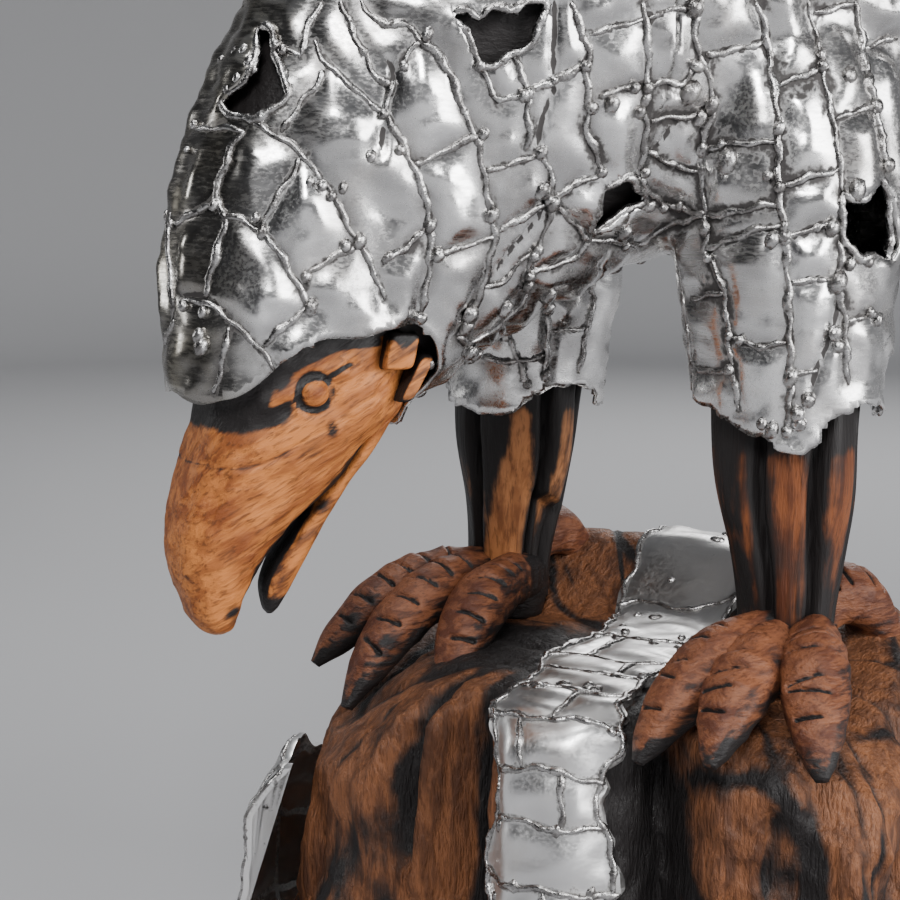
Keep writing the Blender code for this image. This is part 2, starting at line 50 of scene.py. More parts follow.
camera_data = bpy.data.cameras.new("photo_view")
camera_data.lens = CAMERA_LENS
camera_data.sensor_width = SENSOR
camera = bpy.data.objects.new("photo_view", camera_data)
camera.location = CAMERA_PLACE
camera.rotation_euler = (math.radians(90 + CAMERA_PITCH), 0, math.radians(CAMERA_BEARING))
bpy.context.scene.collection.objects.link(camera)
bpy.context.scene.camera = camera


def put_mesh(name, points, faces, sharp=None):
    """A mesh object from an array of points and one of faces with three or four corners each."""
    faces = np.ascontiguousarray(faces, np.int32)
    mesh = bpy.data.meshes.new(name)
    mesh.vertices.add(len(points))
    mesh.vertices.foreach_set("co", np.asarray(points, np.float32).ravel())
    mesh.loops.add(faces.size)
    mesh.loops.foreach_set("vertex_index", faces.ravel())
    mesh.polygons.add(len(faces))
    mesh.polygons.foreach_set("loop_start", np.arange(len(faces), dtype=np.int32) * faces.shape[1])
    mesh.update(calc_edges=True)
    mesh.validate()
    mesh.shade_smooth()
    if sharp is not None:
        mesh.set_sharp_from_angle(angle=math.radians(sharp))
    made = bpy.data.objects.new(name, mesh)
    bpy.context.scene.collection.objects.link(made)
    return made


FLOOR_RADIUS, WALL_RADIUS, WALL_HEIGHT = 3.2, 5.0, 4.5
FLOOR_COLOUR, WALL_COLOUR = (0.31, 0.31, 0.32, 1), (0.53, 0.53, 0.54, 1)
# Outside the picture one side of the cove is painted dark, painted shade that gives the bare metal something
# dark to mirror
PAINTED_SHADE_SIDE, PAINTED_SHADE_COLOUR, COVE_AROUND = (-0.55, -0.83, 0.0), (0.075, 0.075, 0.08, 1), 96


def cove_rings():
    """Rings of the floor: flat to the floor radius, a quarter of an ellipse up to the wall."""
    run = np.linspace(0, math.pi / 2, 24)
    radius = np.concatenate([[0.02, 1.0, 2.0], FLOOR_RADIUS + (WALL_RADIUS - FLOOR_RADIUS) * np.sin(run)])
    height = np.concatenate([[0, 0, 0], WALL_HEIGHT * (1 - np.cos(run))])
    turn = np.linspace(0, 2 * math.pi, COVE_AROUND, endpoint=False)
    return np.stack([np.outer(radius, np.cos(turn)), np.outer(radius, np.sin(turn)),
                     np.repeat(height[:, None], COVE_AROUND, 1)], -1)


cove_points = cove_rings()
cove_ring = np.arange(cove_points.shape[0] - 1)[:, None] * COVE_AROUND
cove_corner = cove_ring + np.arange(COVE_AROUND)
cove_next = cove_ring + (np.arange(COVE_AROUND) + 1) % COVE_AROUND
cove = put_mesh("floor", cove_points.reshape(-1, 3), np.stack([
    cove_corner.ravel(), cove_next.ravel(), (cove_next + COVE_AROUND).ravel(),
    (cove_corner + COVE_AROUND).ravel()], 1))


def node(tree, kind, _links=None, **settings):
    """A node with settings by name and links by input: a socket is linked, any other value is set."""
    made = tree.nodes.new("ShaderNode" + kind)
    for key, value in settings.items():
        setattr(made, key, value)
    for key, value in (_links or {}).items():
        if isinstance(value, bpy.types.NodeSocket):
            tree.links.new(value, made.inputs[key])
        else:
            made.inputs[key].default_value = value
    return made


def math_node(tree, operation, a, b=0.0, clamp=False):
    """One sum on two values, each a socket or a number."""
    return node(tree, "Math", {0: a, 1: b}, operation=operation, use_clamp=clamp).outputs[0]


def ramp(tree, value, low, high, to_low=0.0, to_high=1.0):
    """A value's run from low to high, eased and mapped to another pair."""
    made = node(tree, "MapRange", {"Value": value, "From Min": low, "From Max": high, "To Min": to_low,
                                   "To Max": to_high}, interpolation_type="SMOOTHSTEP")
    return made.outputs["Result"]


def mix_colour(tree, share, a, b):
    """Colour a turning to colour b by the share."""
    return node(tree, "Mix", {0: share, 6: a, 7: b}, data_type="RGBA").outputs[2]


def finish(name, roughness=0.5, metallic=0.0, **values):
    """A new material with its shader's plain values; returns it with its tree and the shader's inputs."""
    made = bpy.data.materials.new(name)
    made.use_nodes = True
    shader = made.node_tree.nodes["Principled BSDF"].inputs
    shader["Roughness"].default_value = roughness
    shader["Metallic"].default_value = metallic
    for key, value in values.items():
        shader[key.replace("_", " ")].default_value = value
    return made, made.node_tree, shader


cove_paint, cove_tree, cove_shader = finish("pale_cove", 0.9)
cove_where = node(cove_tree, "TexCoord").outputs["Object"]
cove_reach = node(cove_tree, "VectorMath", {0: cove_where}, operation="LENGTH").outputs["Value"]
cove_share = math_node(cove_tree, "DIVIDE", cove_reach, WALL_RADIUS)
cove_rise = node(cove_tree, "MapRange",
                 {"Value": cove_share, "From Min": 0.12, "From Max": 0.75}).outputs["Result"]
cove_way = node(cove_tree, "VectorMath", {0: cove_where}, operation="NORMALIZE").outputs["Vector"]
cove_side = node(cove_tree, "VectorMath", {0: cove_way, 1: PAINTED_SHADE_SIDE},
                 operation="DOT_PRODUCT").outputs["Value"]
# Painted shade: the cove's wall turns dark on one side
cove_painted_shade = math_node(cove_tree, "MULTIPLY", ramp(cove_tree, cove_share, 0.20, 0.42),
                      ramp(cove_tree, cove_side, 0.22, 0.72))
cove_colour = mix_colour(cove_tree, cove_painted_shade, mix_colour(cove_tree, cove_rise, FLOOR_COLOUR, WALL_COLOUR),
                         PAINTED_SHADE_COLOUR)
cove_tree.links.new(cove_colour, cove_shader["Base Color"])
cove.data.materials.append(cove_paint)

# Lamps: name, place, size, power. Each looks at the bird's breast.
LAMPS = [
    ("side_window", (2.3, 0.5, 0.9), (1.5, 1.3), 74),
    ("front_window", (1.5, -1.7, 1.9), (0.9, 0.9), 66),
    ("top_window", (-0.2, -0.3, 2.4), (1.0, 0.6), 38),
    ("left_fill", (-1.9, -1.4, 0.7), (0.4, 0.8), 8),
    ("back_window", (-1.4, 1.9, 1.5), (0.9, 0.9), 24),
]
LAMP_AIM = Vector((0.0, -0.05, 0.40))
for lamp_name, lamp_place, lamp_size, lamp_power in LAMPS:
    lamp_data = bpy.data.lights.new(lamp_name, "AREA")
    lamp_data.shape = "RECTANGLE"
    lamp_data.size, lamp_data.size_y = lamp_size
    lamp_data.energy = lamp_power
    lamp = bpy.data.objects.new(lamp_name, lamp_data)
    lamp.location = lamp_place
    lamp.rotation_euler = (LAMP_AIM - Vector(lamp_place)).to_track_quat("-Z", "Y").to_euler()
    bpy.context.scene.collection.objects.link(lamp)
studio = bpy.data.worlds.new("studio")
studio.use_nodes = True
studio.node_tree.nodes["Background"].inputs["Color"].default_value = (0.80, 0.82, 0.86, 1)
studio.node_tree.nodes["Background"].inputs["Strength"].default_value = 0.20
bpy.context.scene.world = studio

# The metal coat's sheet.
# Scraps of aluminium sheet, bent over the wood and welded edge to edge into one skin: hood, neck, body,
# two trouser legs and the folded wings. It has torn holes, and open hems at the face, legs and tail.
STUMP_HEIGHT, UNIT = 0.212, 0.001
HEAD_TURN, TURN_START, TURN_SOFTNESS = math.radians(18), 80, 30
BODY = [
    # lower forward, lower up, upper forward, upper up, half width
    (152, 118, 254, 126, 43), (146, 135, 255, 150, 46), (136, 142, 256, 188, 50),
    (124, 148, 250, 233, 54), (110, 156, 236, 275, 58), (92, 166, 214, 318, 64),
    (70, 179, 180, 368, 75), (44, 192, 130, 414, 92), (12, 198, 70, 446, 114), (-25, 203, 5, 460, 131),
    (-65, 219, -60, 458, 136), (-110, 235, -125, 436, 123), (-155, 255, -182, 400, 98),
    (-200, 275, -232, 362, 74), (-240, 291, -266, 336, 58), (-274, 304, -304, 316, 46),
]
THIGH = [
    # forward, side, up, radius
    (0, 95, 86, 41), (0, 94, 110, 42), (0, 93, 134, 43.5), (0, 91, 165, 47), (0, 90, 200, 51),
    (0, 89, 235, 54), (0, 84, 272, 54), (-2, 76, 306, 48), (-4, 68, 335, 34),
]
WING = [
    # forward, side, up, half thick, half deep, lean in degrees
    (84, 84, 356, 8, 14, 15), (62, 104, 366, 15, 36, 20), (20, 116, 376, 20, 50, 24),
    (-45, 120, 380, 21, 54, 27), (-115, 107, 368, 18, 50, 31), (-185, 82, 350, 14, 42, 36),
    (-255, 59, 336, 10, 32, 41), (-325, 48, 334, 8, 20, 44),
]
FACE_OPENING = [
    (300, 158), (262, 154), (250, 142), (240, 144), (232, 147), (222, 155), (212, 165), (200, 171),
    (185, 171), (172, 175), (158, 176), (149, 171), (144, 162), (143, 152), (147, 142), (151, 134),
    (150, 100), (300, 100),
]
LEFT_HEM = [
    (-40, 142), (-19, 134), (22, 123), (39, 117), (50, 115), (58, 120), (68, 131), (78, 134), (94, 138),
    (110, 135), (140, 128), (175, 134), (205, 122), (235, 132), (275, 127), (300, 137),
]
RIGHT_HEM = [
    (-22, 128), (-7, 117), (28, 113), (43, 115), (61, 124), (74, 128), (92, 128), (111, 124),
    (120, 115), (140, 120), (175, 130), (210, 119), (250, 129), (290, 121), (320, 131),
]
LEG_OUT, HEM_REACH, HEM_TOP = 94, 66, 190
REAR_HEM = [
    (-238, 200), (-249, 296), (-236, 311), (-261, 333), (-250, 352), (-262, 420), (-380, 420),
    (-380, 200),
]
# The torn holes as they lie in the photograph, in its pixels
HOLES = {
    "crown": [(259, 26), (268, 26), (274, 42), (276, 60), (285, 76), (287, 92), (280, 105), (264, 114),
              (248, 119), (231, 114), (220, 105), (227, 95), (238, 87), (247, 76), (254, 64), (256, 46)],
    "neck": [(452, 15), (464, 30), (474, 46), (481, 66), (490, 67), (508, 57), (522, 50), (535, 38),
             (541, 20), (546, 1), (528, 2), (515, 11), (505, 7), (490, 9), (480, 18), (468, 9)],
    "flank": [(604, 190), (618, 181), (632, 179), (640, 190), (645, 198), (640, 205), (622, 212),
              (606, 225), (593, 232), (596, 215)],
    "thigh": [(843, 192), (856, 201), (869, 193), (882, 178), (889, 200), (890, 225), (891, 242),
              (886, 260), (870, 257), (858, 258), (848, 245), (842, 225)],
}
HOLE_REACH = 0.016        # how far to either side of its own plane a hole cuts
SHEET_WALL = 0.0018
COAT_VOXEL = 0.0031
COAT_SPLIT = 70           # forward of this the coat is the front piece
PILLOW, PANEL_TILT, MOST_TILT, DENT, LAP_DEPTH = 0.0026, 0.085, 0.0013, 0.0012, 0.0018
PANEL_EDGE, PILLOW_REACH = 2.6, 7.5
rng = np.random.default_rng(7)


def loft_faces(points):
    """Triangles over rings of points, and both ends drawn to a pole. They are turned to face outwards.

    Corner k of ring r joins corner k + 1 and the next ring; the enclosed volume's sign tells the turn.
    """
    rings, around = points.shape[:2]
    first = np.arange(rings - 1)[:, None] * around
    k = np.arange(around)
    after = (k + 1) % around
    a, b = (first + k).ravel(), (first + after).ravel()
    c, d = (first + around + after).ravel(), (first + around + k).ravel()
    start, end = rings * around, rings * around + 1
    last = (rings - 1) * around
    faces = np.vstack([
        np.stack([a, b, c], 1), np.stack([a, c, d], 1),
        np.stack([after, k, np.full(around, start)], 1),
        np.stack([last + k, last + after, np.full(around, end)], 1),
    ])
    flat = np.vstack([points.reshape(-1, 3), points[0].mean(0), points[-1].mean(0)])
    corners = flat[faces] - flat.mean(0)
    if np.einsum("ij,ij->", corners[:, 0], np.cross(corners[:, 1], corners[:, 2])) < 0:
        faces = faces[:, ::-1]
    return flat, faces


def loft(name, grids, sharp=None):
    """One object from one or more closed lofts."""
    points, faces, count = [], [], 0
    for grid in grids:
        flat, found = loft_faces(np.asarray(grid, float))
        points.append(flat)
        faces.append(found + count)
        count += len(flat)
    return put_mesh(name, np.vstack(points), np.vstack(faces), sharp)


def tag(made, name, values):
    """A number for each point of the mesh, for its material to read."""
    attribute = made.data.attributes.new(name, "FLOAT", "POINT")
    attribute.data.foreach_set("value", np.asarray(values, np.float32))


def points_of(mesh, key="co"):
    """The mesh's points, or its normals, as an array."""
    found = np.zeros(len(mesh.vertices) * 3)
    mesh.vertices.foreach_get(key, found)
    return found.reshape(-1, 3)


def smooth_at(rows, spots):
    """Rows of numbers read at any place between them, on a Catmull-Rom curve through them."""
    rows = np.asarray(rows, float)
    padded = np.vstack([2 * rows[0] - rows[1], rows, 2 * rows[-1] - rows[-2]])
    spots = np.asarray(spots, float)
    first = np.clip(spots.astype(int), 0, len(rows) - 2)
    t = (spots - first)[..., None]
    a, b, c, d = (padded[first + k] for k in range(4))
    return 0.5 * (2 * b + (c - a) * t + (2 * a - 5 * b + 4 * c - d) * t**2 + (3 * b - a - 3 * c + d) * t**3)


def smooth_rows(rows, count):
    """That many rows, evenly spread along the same curve."""
    return smooth_at(rows, np.linspace(0, len(rows) - 1, count))


def place(grid):
    """Grid parts (forward, side, up) to metres; past the turn's start the line swings to the bird's right."""
    forward, side, up = np.moveaxis(np.asarray(grid, float), -1, 0)
    ahead = forward - TURN_START
    ramp = (ahead + np.hypot(ahead, TURN_SOFTNESS)) / 2
    turn = HEAD_TURN * (1 + ahead / np.hypot(ahead, TURN_SOFTNESS)) / 2
    x = -math.sin(HEAD_TURN) * ramp + side * np.cos(turn)
    y = -forward + (1 - math.cos(HEAD_TURN)) * ramp - side * np.sin(turn)
    return np.stack([x * UNIT, y * UNIT, STUMP_HEIGHT + up * UNIT], axis=-1)


def unplace(points):
    """Metres to grid parts: the same swing, undone by repeated correction of the forward part."""
    x, y = points[..., 0] / UNIT, points[..., 1] / UNIT
    forward = -y
    for _ in range(24):
        ahead = forward - TURN_START
        ramp = (ahead + np.hypot(ahead, TURN_SOFTNESS)) / 2
        turn = HEAD_TURN * (1 + ahead / np.hypot(ahead, TURN_SOFTNESS)) / 2
        side = (x + math.sin(HEAD_TURN) * ramp) / np.cos(turn)
        forward = -y + (1 - math.cos(HEAD_TURN)) * ramp - side * np.sin(turn)
    return np.stack([forward, side, (points[..., 2] - STUMP_HEIGHT) / UNIT], axis=-1)


def stand(grid):
    """Grid parts to metres for what stands on the stump, with no turn."""
    forward, side, up = np.moveaxis(np.asarray(grid, float), -1, 0)
    return np.stack([side * UNIT, -forward * UNIT, STUMP_HEIGHT + up * UNIT], axis=-1)


def rounded(turn, squareness):
    """Cosine and sine of the turn, pushed outwards to a superellipse of that exponent."""
    c, s = np.cos(turn), np.sin(turn)
    power = 2 / squareness
    return np.sign(c) * np.abs(c) ** power, np.sign(s) * np.abs(s) ** power


def profile_point(stations, spot, turn, inset=0.0, squareness=2.2):
    """The skin between a lower and an upper profile: across by cosine, up the station's line by sine."""
    row = smooth_at(stations, spot)
    c, s = rounded(turn, squareness)
    half_f, half_u = (row[..., 2] - row[..., 0]) / 2, (row[..., 3] - row[..., 1]) / 2
    length = np.hypot(half_f, half_u)
    keep = (length - inset) / length
    return np.stack([(row[..., 0] + row[..., 2]) / 2 + half_f * keep * s, (row[..., 4] - inset) * c,
                     (row[..., 1] + row[..., 3]) / 2 + half_u * keep * s], -1)


def column_point(stations, spot, turn, inset=0.0):
    """Level rings round an upright column."""
    row = smooth_at(stations, spot)
    reach = row[..., 3] - inset
    return np.stack([row[..., 0] + reach * np.cos(turn), row[..., 1] + reach * np.sin(turn), row[..., 2]], -1)


def wing_point(sign, stations, spot, turn, inset=0.0):
    """A deep thin blade along its stations, its top leant towards the body."""
    row, before, after = (smooth_at(stations, np.clip(spot + d, 0, len(stations) - 1))
                          for d in (0, -0.5, 0.5))
    row = row.copy()
    along = (after - before)[..., :3]
    for part in (row, along):
        part[..., 1] *= sign
    along /= np.linalg.norm(along, axis=-1, keepdims=True)
    level = np.cross(along, (0, 0, 1.0))
    level /= np.linalg.norm(level, axis=-1, keepdims=True)
    upright = np.cross(level, along)
    lean = np.radians(row[..., 5:6]) * sign
    level, upright = (level * np.cos(lean) + upright * np.sin(lean),
                      upright * np.cos(lean) - level * np.sin(lean))
    c, s = rounded(turn, 2.2)
    thick = np.maximum(row[..., 3] - inset, row[..., 3] * 0.3)
    deep = np.maximum(row[..., 4] - inset, row[..., 4] * 0.3)
    return row[..., :3] + (c * thick)[..., None] * level + (s * deep)[..., None] * upright


def sheet_grid(shape, spots, around):
    """A shape's function read on a grid of spots along it and turns around it."""
    turn = np.linspace(0, 2 * math.pi, around, endpoint=False)
    spot, turn = np.meshgrid(np.asarray(spots, float), turn, indexing="ij")
    return shape(spot, turn)


def right_side(stations):
    """The same stations mirrored to the bird's right."""
    return [(row[0], -row[1], *row[2:]) for row in stations]


BODY_END, THIGH_END, WING_END = len(BODY) - 1, len(THIGH) - 1, len(WING) - 1
coat_shapes = {
    "body": (lambda spot, turn: place(profile_point(BODY, spot, turn)), BODY_END),
    "left_leg": (lambda spot, turn: stand(column_point(THIGH, spot, turn)), THIGH_END),
    "right_leg": (lambda spot, turn: stand(column_point(right_side(THIGH), spot, turn)), THIGH_END),
    "left_wing": (lambda spot, turn: place(wing_point(1, WING, spot, turn)), WING_END),
    "right_wing": (lambda spot, turn: place(wing_point(-1, WING, spot, turn)), WING_END),
}
raw_coat = loft("raw_coat", [
    sheet_grid(shape, np.linspace(0, end, 10 * end), 64) for shape, end in coat_shapes.values()])
remesh = raw_coat.modifiers.new("one skin", "REMESH")
remesh.mode = "VOXEL"
remesh.voxel_size = COAT_VOXEL
soften = raw_coat.modifiers.new("soften the joins", "SMOOTH")
soften.iterations = 9
soften.factor = 0.5
skin = bpy.data.meshes.new_from_object(raw_coat.evaluated_get(bpy.context.evaluated_depsgraph_get()))
bpy.data.objects.remove(raw_coat)
skin_points, skin_normals = points_of(skin), points_of(skin, "normal")
skin_quads = np.zeros(len(skin.loops), np.int32)
skin.loops.foreach_get("vertex_index", skin_quads)
skin_quads = skin_quads.reshape(-1, 4)
skin_tree = BVHTree.FromPolygons(skin_points.tolist(), skin_quads.tolist())

PICTURE = 900             # the photograph's width and height in pixels
VIEW_TURN = camera.rotation_euler.to_matrix()
FOCAL = CAMERA_LENS / SENSOR * PICTURE


def pixel_ray(pixel):
    """The way from the camera through a pixel of the photograph."""
    x, y = pixel
    return (VIEW_TURN @ Vector((x - PICTURE / 2, PICTURE / 2 - y, -FOCAL))).normalized()


def pixels_on(tree, pixels):
    """Where the rays through these pixels meet a surface, and its normals there; a miss is left out.

    Rays are cast one by one, here and wherever a tree is asked, because the tree answers one at a time.
    """
    hits = [tree.ray_cast(Vector(CAMERA_PLACE), pixel_ray(pixel))[:2] for pixel in pixels]
    hits = [hit for hit in hits if hit[0] is not None]
    return np.array([hit[0] for hit in hits]), np.array([hit[1] for hit in hits])


def line_distance(outline, a, b):
    """Distance of each (a, b) to a closed outline, below nought inside it."""
    outline = np.asarray(outline, float)
    found = np.full(np.shape(a), 1e9)
    inside = np.zeros(np.shape(a), bool)
    for (ax, ay), (bx, by) in zip(outline, np.roll(outline, -1, 0)):
        run_x, run_y = bx - ax, by - ay
        t = np.clip(((a - ax) * run_x + (b - ay) * run_y) / (run_x**2 + run_y**2), 0, 1)
        found = np.minimum(found, np.hypot(a - ax - t * run_x, b - ay - t * run_y))
        crosses = (ay > b) != (by > b)
        inside ^= crosses & (a < ax + run_x * (b - ay) / (by - ay + 1e-12))
    return np.where(inside, -found, found)


def bearing_curve(pairs, bearing):
    """A smooth closed curve through (bearing, value) pairs, eased from each to the next."""
    pairs = sorted(pairs)
    angles = np.array([p[0] for p in pairs], float)
    values = np.array([p[1] for p in pairs], float)
    angles = np.concatenate([angles[-1:] - 360, angles, angles[:1] + 360])
    values = np.concatenate([values[-1:], values, values[:1]])
    wrapped = (np.asarray(bearing, float) - angles[1]) % 360 + angles[1]
    spot = np.interp(wrapped, angles, np.arange(len(angles)))
    first = np.minimum(spot.astype(int), len(angles) - 2)
    t = spot - first
    ease = t * t * (3 - 2 * t)
    return values[first] * (1 - ease) + values[first + 1] * ease


hole_frames = {}
for hole_name, hole_pixels in HOLES.items():
    rim, rim_normals = pixels_on(skin_tree, hole_pixels)
    facing = rim_normals.mean(0) / np.linalg.norm(rim_normals.mean(0))
    level = np.cross((0, 0, 1.0), facing)
    level /= np.linalg.norm(level)
    rise = np.cross(facing, level)
    middle = rim.mean(0)
    hole_frames[hole_name] = (middle, facing, level, rise,
                              np.stack([(rim - middle) @ level, (rim - middle) @ rise], 1))
hem_line = np.vstack([smooth_rows(FACE_OPENING[1:-1], 80), FACE_OPENING[-1:], FACE_OPENING[:1]])


def metal_left(points):
    """How far a point of the skin is from the nearest opening, in metres, below nought in the opening."""
    grid = unplace(points)
    forward, up = grid[:, 0], grid[:, 2]
    left = line_distance(hem_line, forward, up)
    left = np.minimum(left, line_distance(REAR_HEM, forward, up))
    standing_forward, standing_side = -points[:, 1] / UNIT, points[:, 0] / UNIT
    for side, hem in ((LEG_OUT, LEFT_HEM), (-LEG_OUT, RIGHT_HEM)):
        away = np.hypot(standing_forward, standing_side - side)
        bearing = np.degrees(np.arctan2(standing_side - side, standing_forward))
        ragged = 0.6 * np.sin(np.radians(bearing) * 17) + 0.3 * np.sin(np.radians(bearing) * 29 + 1)
        height = up - bearing_curve(hem, bearing) - ragged
        left = np.minimum(left, np.where((away < HEM_REACH) & (up < HEM_TOP), height, 1e3))
    left = left * UNIT
    for middle, facing, level, rise, outline in hole_frames.values():
        offset = points - middle
        depth = offset @ facing
        flat = line_distance(outline, offset @ level, offset @ rise)
        left = np.minimum(left, np.where(np.abs(depth) < HOLE_REACH, flat, 1.0))
    return left


# Seams of the coat seen in the photograph, each a line of its pixels, from the hood back to the near leg
PHOTO_SEAMS = [
    [(186, 126), (205, 128), (225, 127), (243, 130)],
    [(243, 130), (232, 143), (225, 162), (218, 180), (214, 198), (224, 214), (220, 235), (213, 260),
     (203, 298)],
    [(172, 224), (188, 215), (205, 206), (214, 205)],
    [(224, 214), (240, 219), (252, 226), (262, 232)],
    [(163, 195), (168, 212), (166, 245), (170, 285), (171, 320)],
    [(262, 232), (276, 248), (289, 270), (304, 296), (311, 306)],
    [(309, 308), (290, 322), (275, 335), (262, 347)],
    [(178, 300), (192, 301), (206, 303), (220, 313), (240, 330), (258, 347), (268, 360), (275, 370)],
    [(229, 326), (224, 345), (221, 365), (213, 394)],
    [(172, 320), (167, 332), (162, 346)],
    [(276, 46), (290, 50), (300, 54)],
    [(322, 0), (312, 15), (304, 35), (299, 58)],
    [(313, 40), (320, 55), (332, 69), (348, 82), (362, 96), (383, 112)],
    [(324, 70), (312, 90), (303, 98), (292, 115), (281, 132)],
    [(252, 122), (270, 132), (285, 141), (299, 150), (310, 165), (322, 181)],
    [(300, 158), (290, 178), (278, 194), (268, 214), (260, 230)],
    [(322, 181), (335, 196), (342, 213), (352, 232), (360, 241)],
    [(360, 241), (368, 258), (376, 276), (386, 301)],
    [(356, 245), (340, 255), (322, 264), (306, 277)],
    [(383, 264), (396, 254), (410, 245), (430, 226)],
    [(383, 112), (394, 127), (402, 142), (409, 157), (417, 174), (425, 194), (430, 225), (431, 250),
     (428, 282), (421, 318)],
    [(438, 255), (458, 250), (476, 243), (497, 238)],
    [(414, 163), (430, 160), (446, 151), (462, 143), (484, 134)],
    [(360, 0), (370, 14), (384, 24), (402, 22), (420, 38), (438, 55), (450, 72), (457, 90), (464, 112),
     (476, 135), (481, 155), (485, 175), (490, 205), (496, 235), (490, 262), (484, 288), (472, 316),
     (458, 338)],
    [(421, 40), (410, 52), (400, 66)],
    [(392, 80), (389, 98), (384, 112)],
    [(340, 0), (350, 24), (362, 50), (378, 78), (391, 86)],
    [(486, 173), (505, 166), (522, 162), (541, 153)],
    [(541, 153), (549, 168), (553, 186), (549, 200)],
    [(555, 80), (566, 75), (586, 65)],
    [(526, 92), (538, 89), (555, 80)],
    [(481, 66), (489, 84), (500, 100), (524, 95)],
    [(513, 54), (521, 72), (529, 92), (528, 115), (530, 135), (527, 152)],
    [(573, 0), (578, 20), (585, 38), (590, 54), (587, 75), (590, 108), (586, 126), (594, 146), (604, 172)],
    [(604, 172), (595, 178), (572, 187), (553, 203)],
    [(553, 203), (548, 226), (538, 250), (527, 276)],
    [(645, 0), (646, 20), (649, 45), (648, 90), (645, 110), (648, 130), (645, 152), (640, 178)],
    [(590, 34), (606, 30), (625, 24), (646, 20)],
    [(648, 20), (658, 14), (672, 10), (690, 8)],
    [(600, 97), (615, 92), (630, 88), (644, 85)],
    [(652, 121), (670, 118), (690, 117), (704, 114)],
    [(697, 12), (696, 35), (700, 55), (706, 66), (714, 97), (712, 116), (704, 140), (700, 170), (704, 215)],
    [(707, 57), (725, 52), (745, 48), (765, 42)],
    [(757, 0), (764, 20), (768, 42), (774, 90), (779, 120), (778, 160), (780, 200), (785, 240), (788, 285),
     (790, 345), (791, 390), (787, 432)],
    [(703, 150), (722, 145), (748, 143), (777, 142)],
    [(775, 85), (790, 80), (806, 74), (822, 66)],
    [(808, 0), (813, 20), (821, 46), (824, 70), (831, 105), (838, 142), (842, 168), (843, 192)],
    [(780, 187), (800, 180), (820, 174), (841, 170)],
    [(815, 14), (832, 9), (856, 3)],
    [(856, 0), (861, 28), (868, 65), (877, 105), (882, 130), (888, 165)],
    [(837, 120), (850, 113), (876, 106)],
    [(867, 48), (880, 42), (898, 38)],
    [(789, 282), (805, 282), (820, 280), (836, 278)],
    [(841, 240), (842, 265), (838, 282), (846, 315), (847, 345), (849, 386)],
    [(846, 325), (861, 318), (884, 314)],
    [(708, 258), (716, 275), (723, 292), (728, 350), (735, 392), (738, 412)],
    [(729, 336), (745, 343), (765, 347), (788, 342)],
    [(703, 250), (720, 243), (740, 236), (757, 229), (784, 226)],
    [(704, 215), (706, 235), (703, 250), (708, 258)],
    [(791, 378), (805, 374), (818, 370)],
    [(705, 118), (703, 150)],
    [(676, 262), (680, 290), (684, 320), (688, 352), (693, 395)],
    [(690, 300), (705, 296), (722, 292)],
    [(694, 368), (710, 372), (730, 370)],
    [(780, 205), (760, 206), (735, 212), (705, 216)],
    [(785, 236), (803, 234), (820, 226), (840, 226)],
    [(648, 90), (665, 82), (684, 84), (697, 66)],
    [(645, 150), (662, 160), (680, 168), (700, 172)],
    [(640, 178), (650, 192), (668, 206), (704, 215)],
    [(527, 276), (545, 270), (575, 260), (592, 243), (622, 243), (642, 246), (668, 227), (704, 215)],
    [(484, 288), (502, 284), (516, 268), (538, 250)],
    [(458, 338), (472, 344), (496, 330), (527, 300), (530, 276)],
    [(553, 203), (572, 222), (592, 243)],
    [(496, 235), (514, 224), (530, 215), (549, 204)],
    [(548, 295), (549, 330), (546, 376)],
    [(592, 285), (595, 305), (588, 330), (580, 374)],
    [(549, 330), (566, 331), (588, 328)],
    [(500, 326), (512, 345), (520, 365), (528, 385)],
    [(470, 352), (492, 360), (518, 362), (546, 356)],
]
# Where one sheet laps over the next with a dark gap between them
PHOTO_LAPS = [
    [(556, 0), (555, 36), (554, 72)],
    [(556, 88), (549, 104), (542, 124), (539, 146)],
    [(180, 297), (194, 294), (210, 302), (222, 311)],
    [(425, 46), (440, 58), (450, 74), (457, 92)],
    [(389, 60), (394, 80), (389, 100), (385, 114)],
    [(547, 198), (538, 222), (516, 247), (487, 287), (466, 314)],
    [(842, 295), (838, 315), (833, 335), (822, 360), (811, 390)],
    [(384, 130), (380, 148)],
    [(679, 120), (668, 136), (656, 150)],
]
SEAM_STEP, LINE_GAP = 0.0021, 0.012
HIDDEN_PANEL, LEG_PANEL = 27, 26      # courses that the photograph doesn't show, in grid parts
COURSE_STRAY = 0.0035                 # a made-up course further than this from the skin runs inside it
SIGHT_SLACK = 0.008                   # how far behind the first surface a point still counts as seen
PICTURE_REACH = PICTURE / 2 + 10      # how far from the picture's middle a seam may still be seen, in pixels


def run_of(line):
    """How far along a line each of its points lies: the steps' lengths, added up."""
    return np.concatenate([[0], np.cumsum(np.linalg.norm(np.diff(line, axis=0), axis=1))])


def dense(line, step):
    """A line of points, smoothed and laid out again at even steps."""
    line = np.asarray(line, float)
    if len(line) > 2:
        line = smooth_rows(line, 8 * len(line))
    run = run_of(line)
    spots = np.linspace(0, run[-1], max(2, int(run[-1] / step) + 1))
    return np.stack([np.interp(spots, run, line[:, k]) for k in range(line.shape[1])], 1)


def pieces_of(points, keep, gap):
    """A line cut into the runs that are kept and have no step longer than the gap."""
    keep = np.asarray(keep, bool)
    jump = np.concatenate([[False], np.linalg.norm(np.diff(points, axis=0), axis=1) > gap])
    runs = np.split(np.arange(len(points)), np.flatnonzero(jump | ~keep))
    return [points[run[keep[run]]] for run in runs if keep[run].sum() > 2]


def photo_lines(lines):
    """The photograph's lines on the skin, cut where the skin ends or steps back."""
    found = []
    for line in lines:
        hits, _ = pixels_on(skin_tree, dense(line, 3.0))
        if len(hits) > 2:
            found += pieces_of(hits, metal_left(hits) > -0.001, LINE_GAP)
    return [dense(run, SEAM_STEP) for run in found]


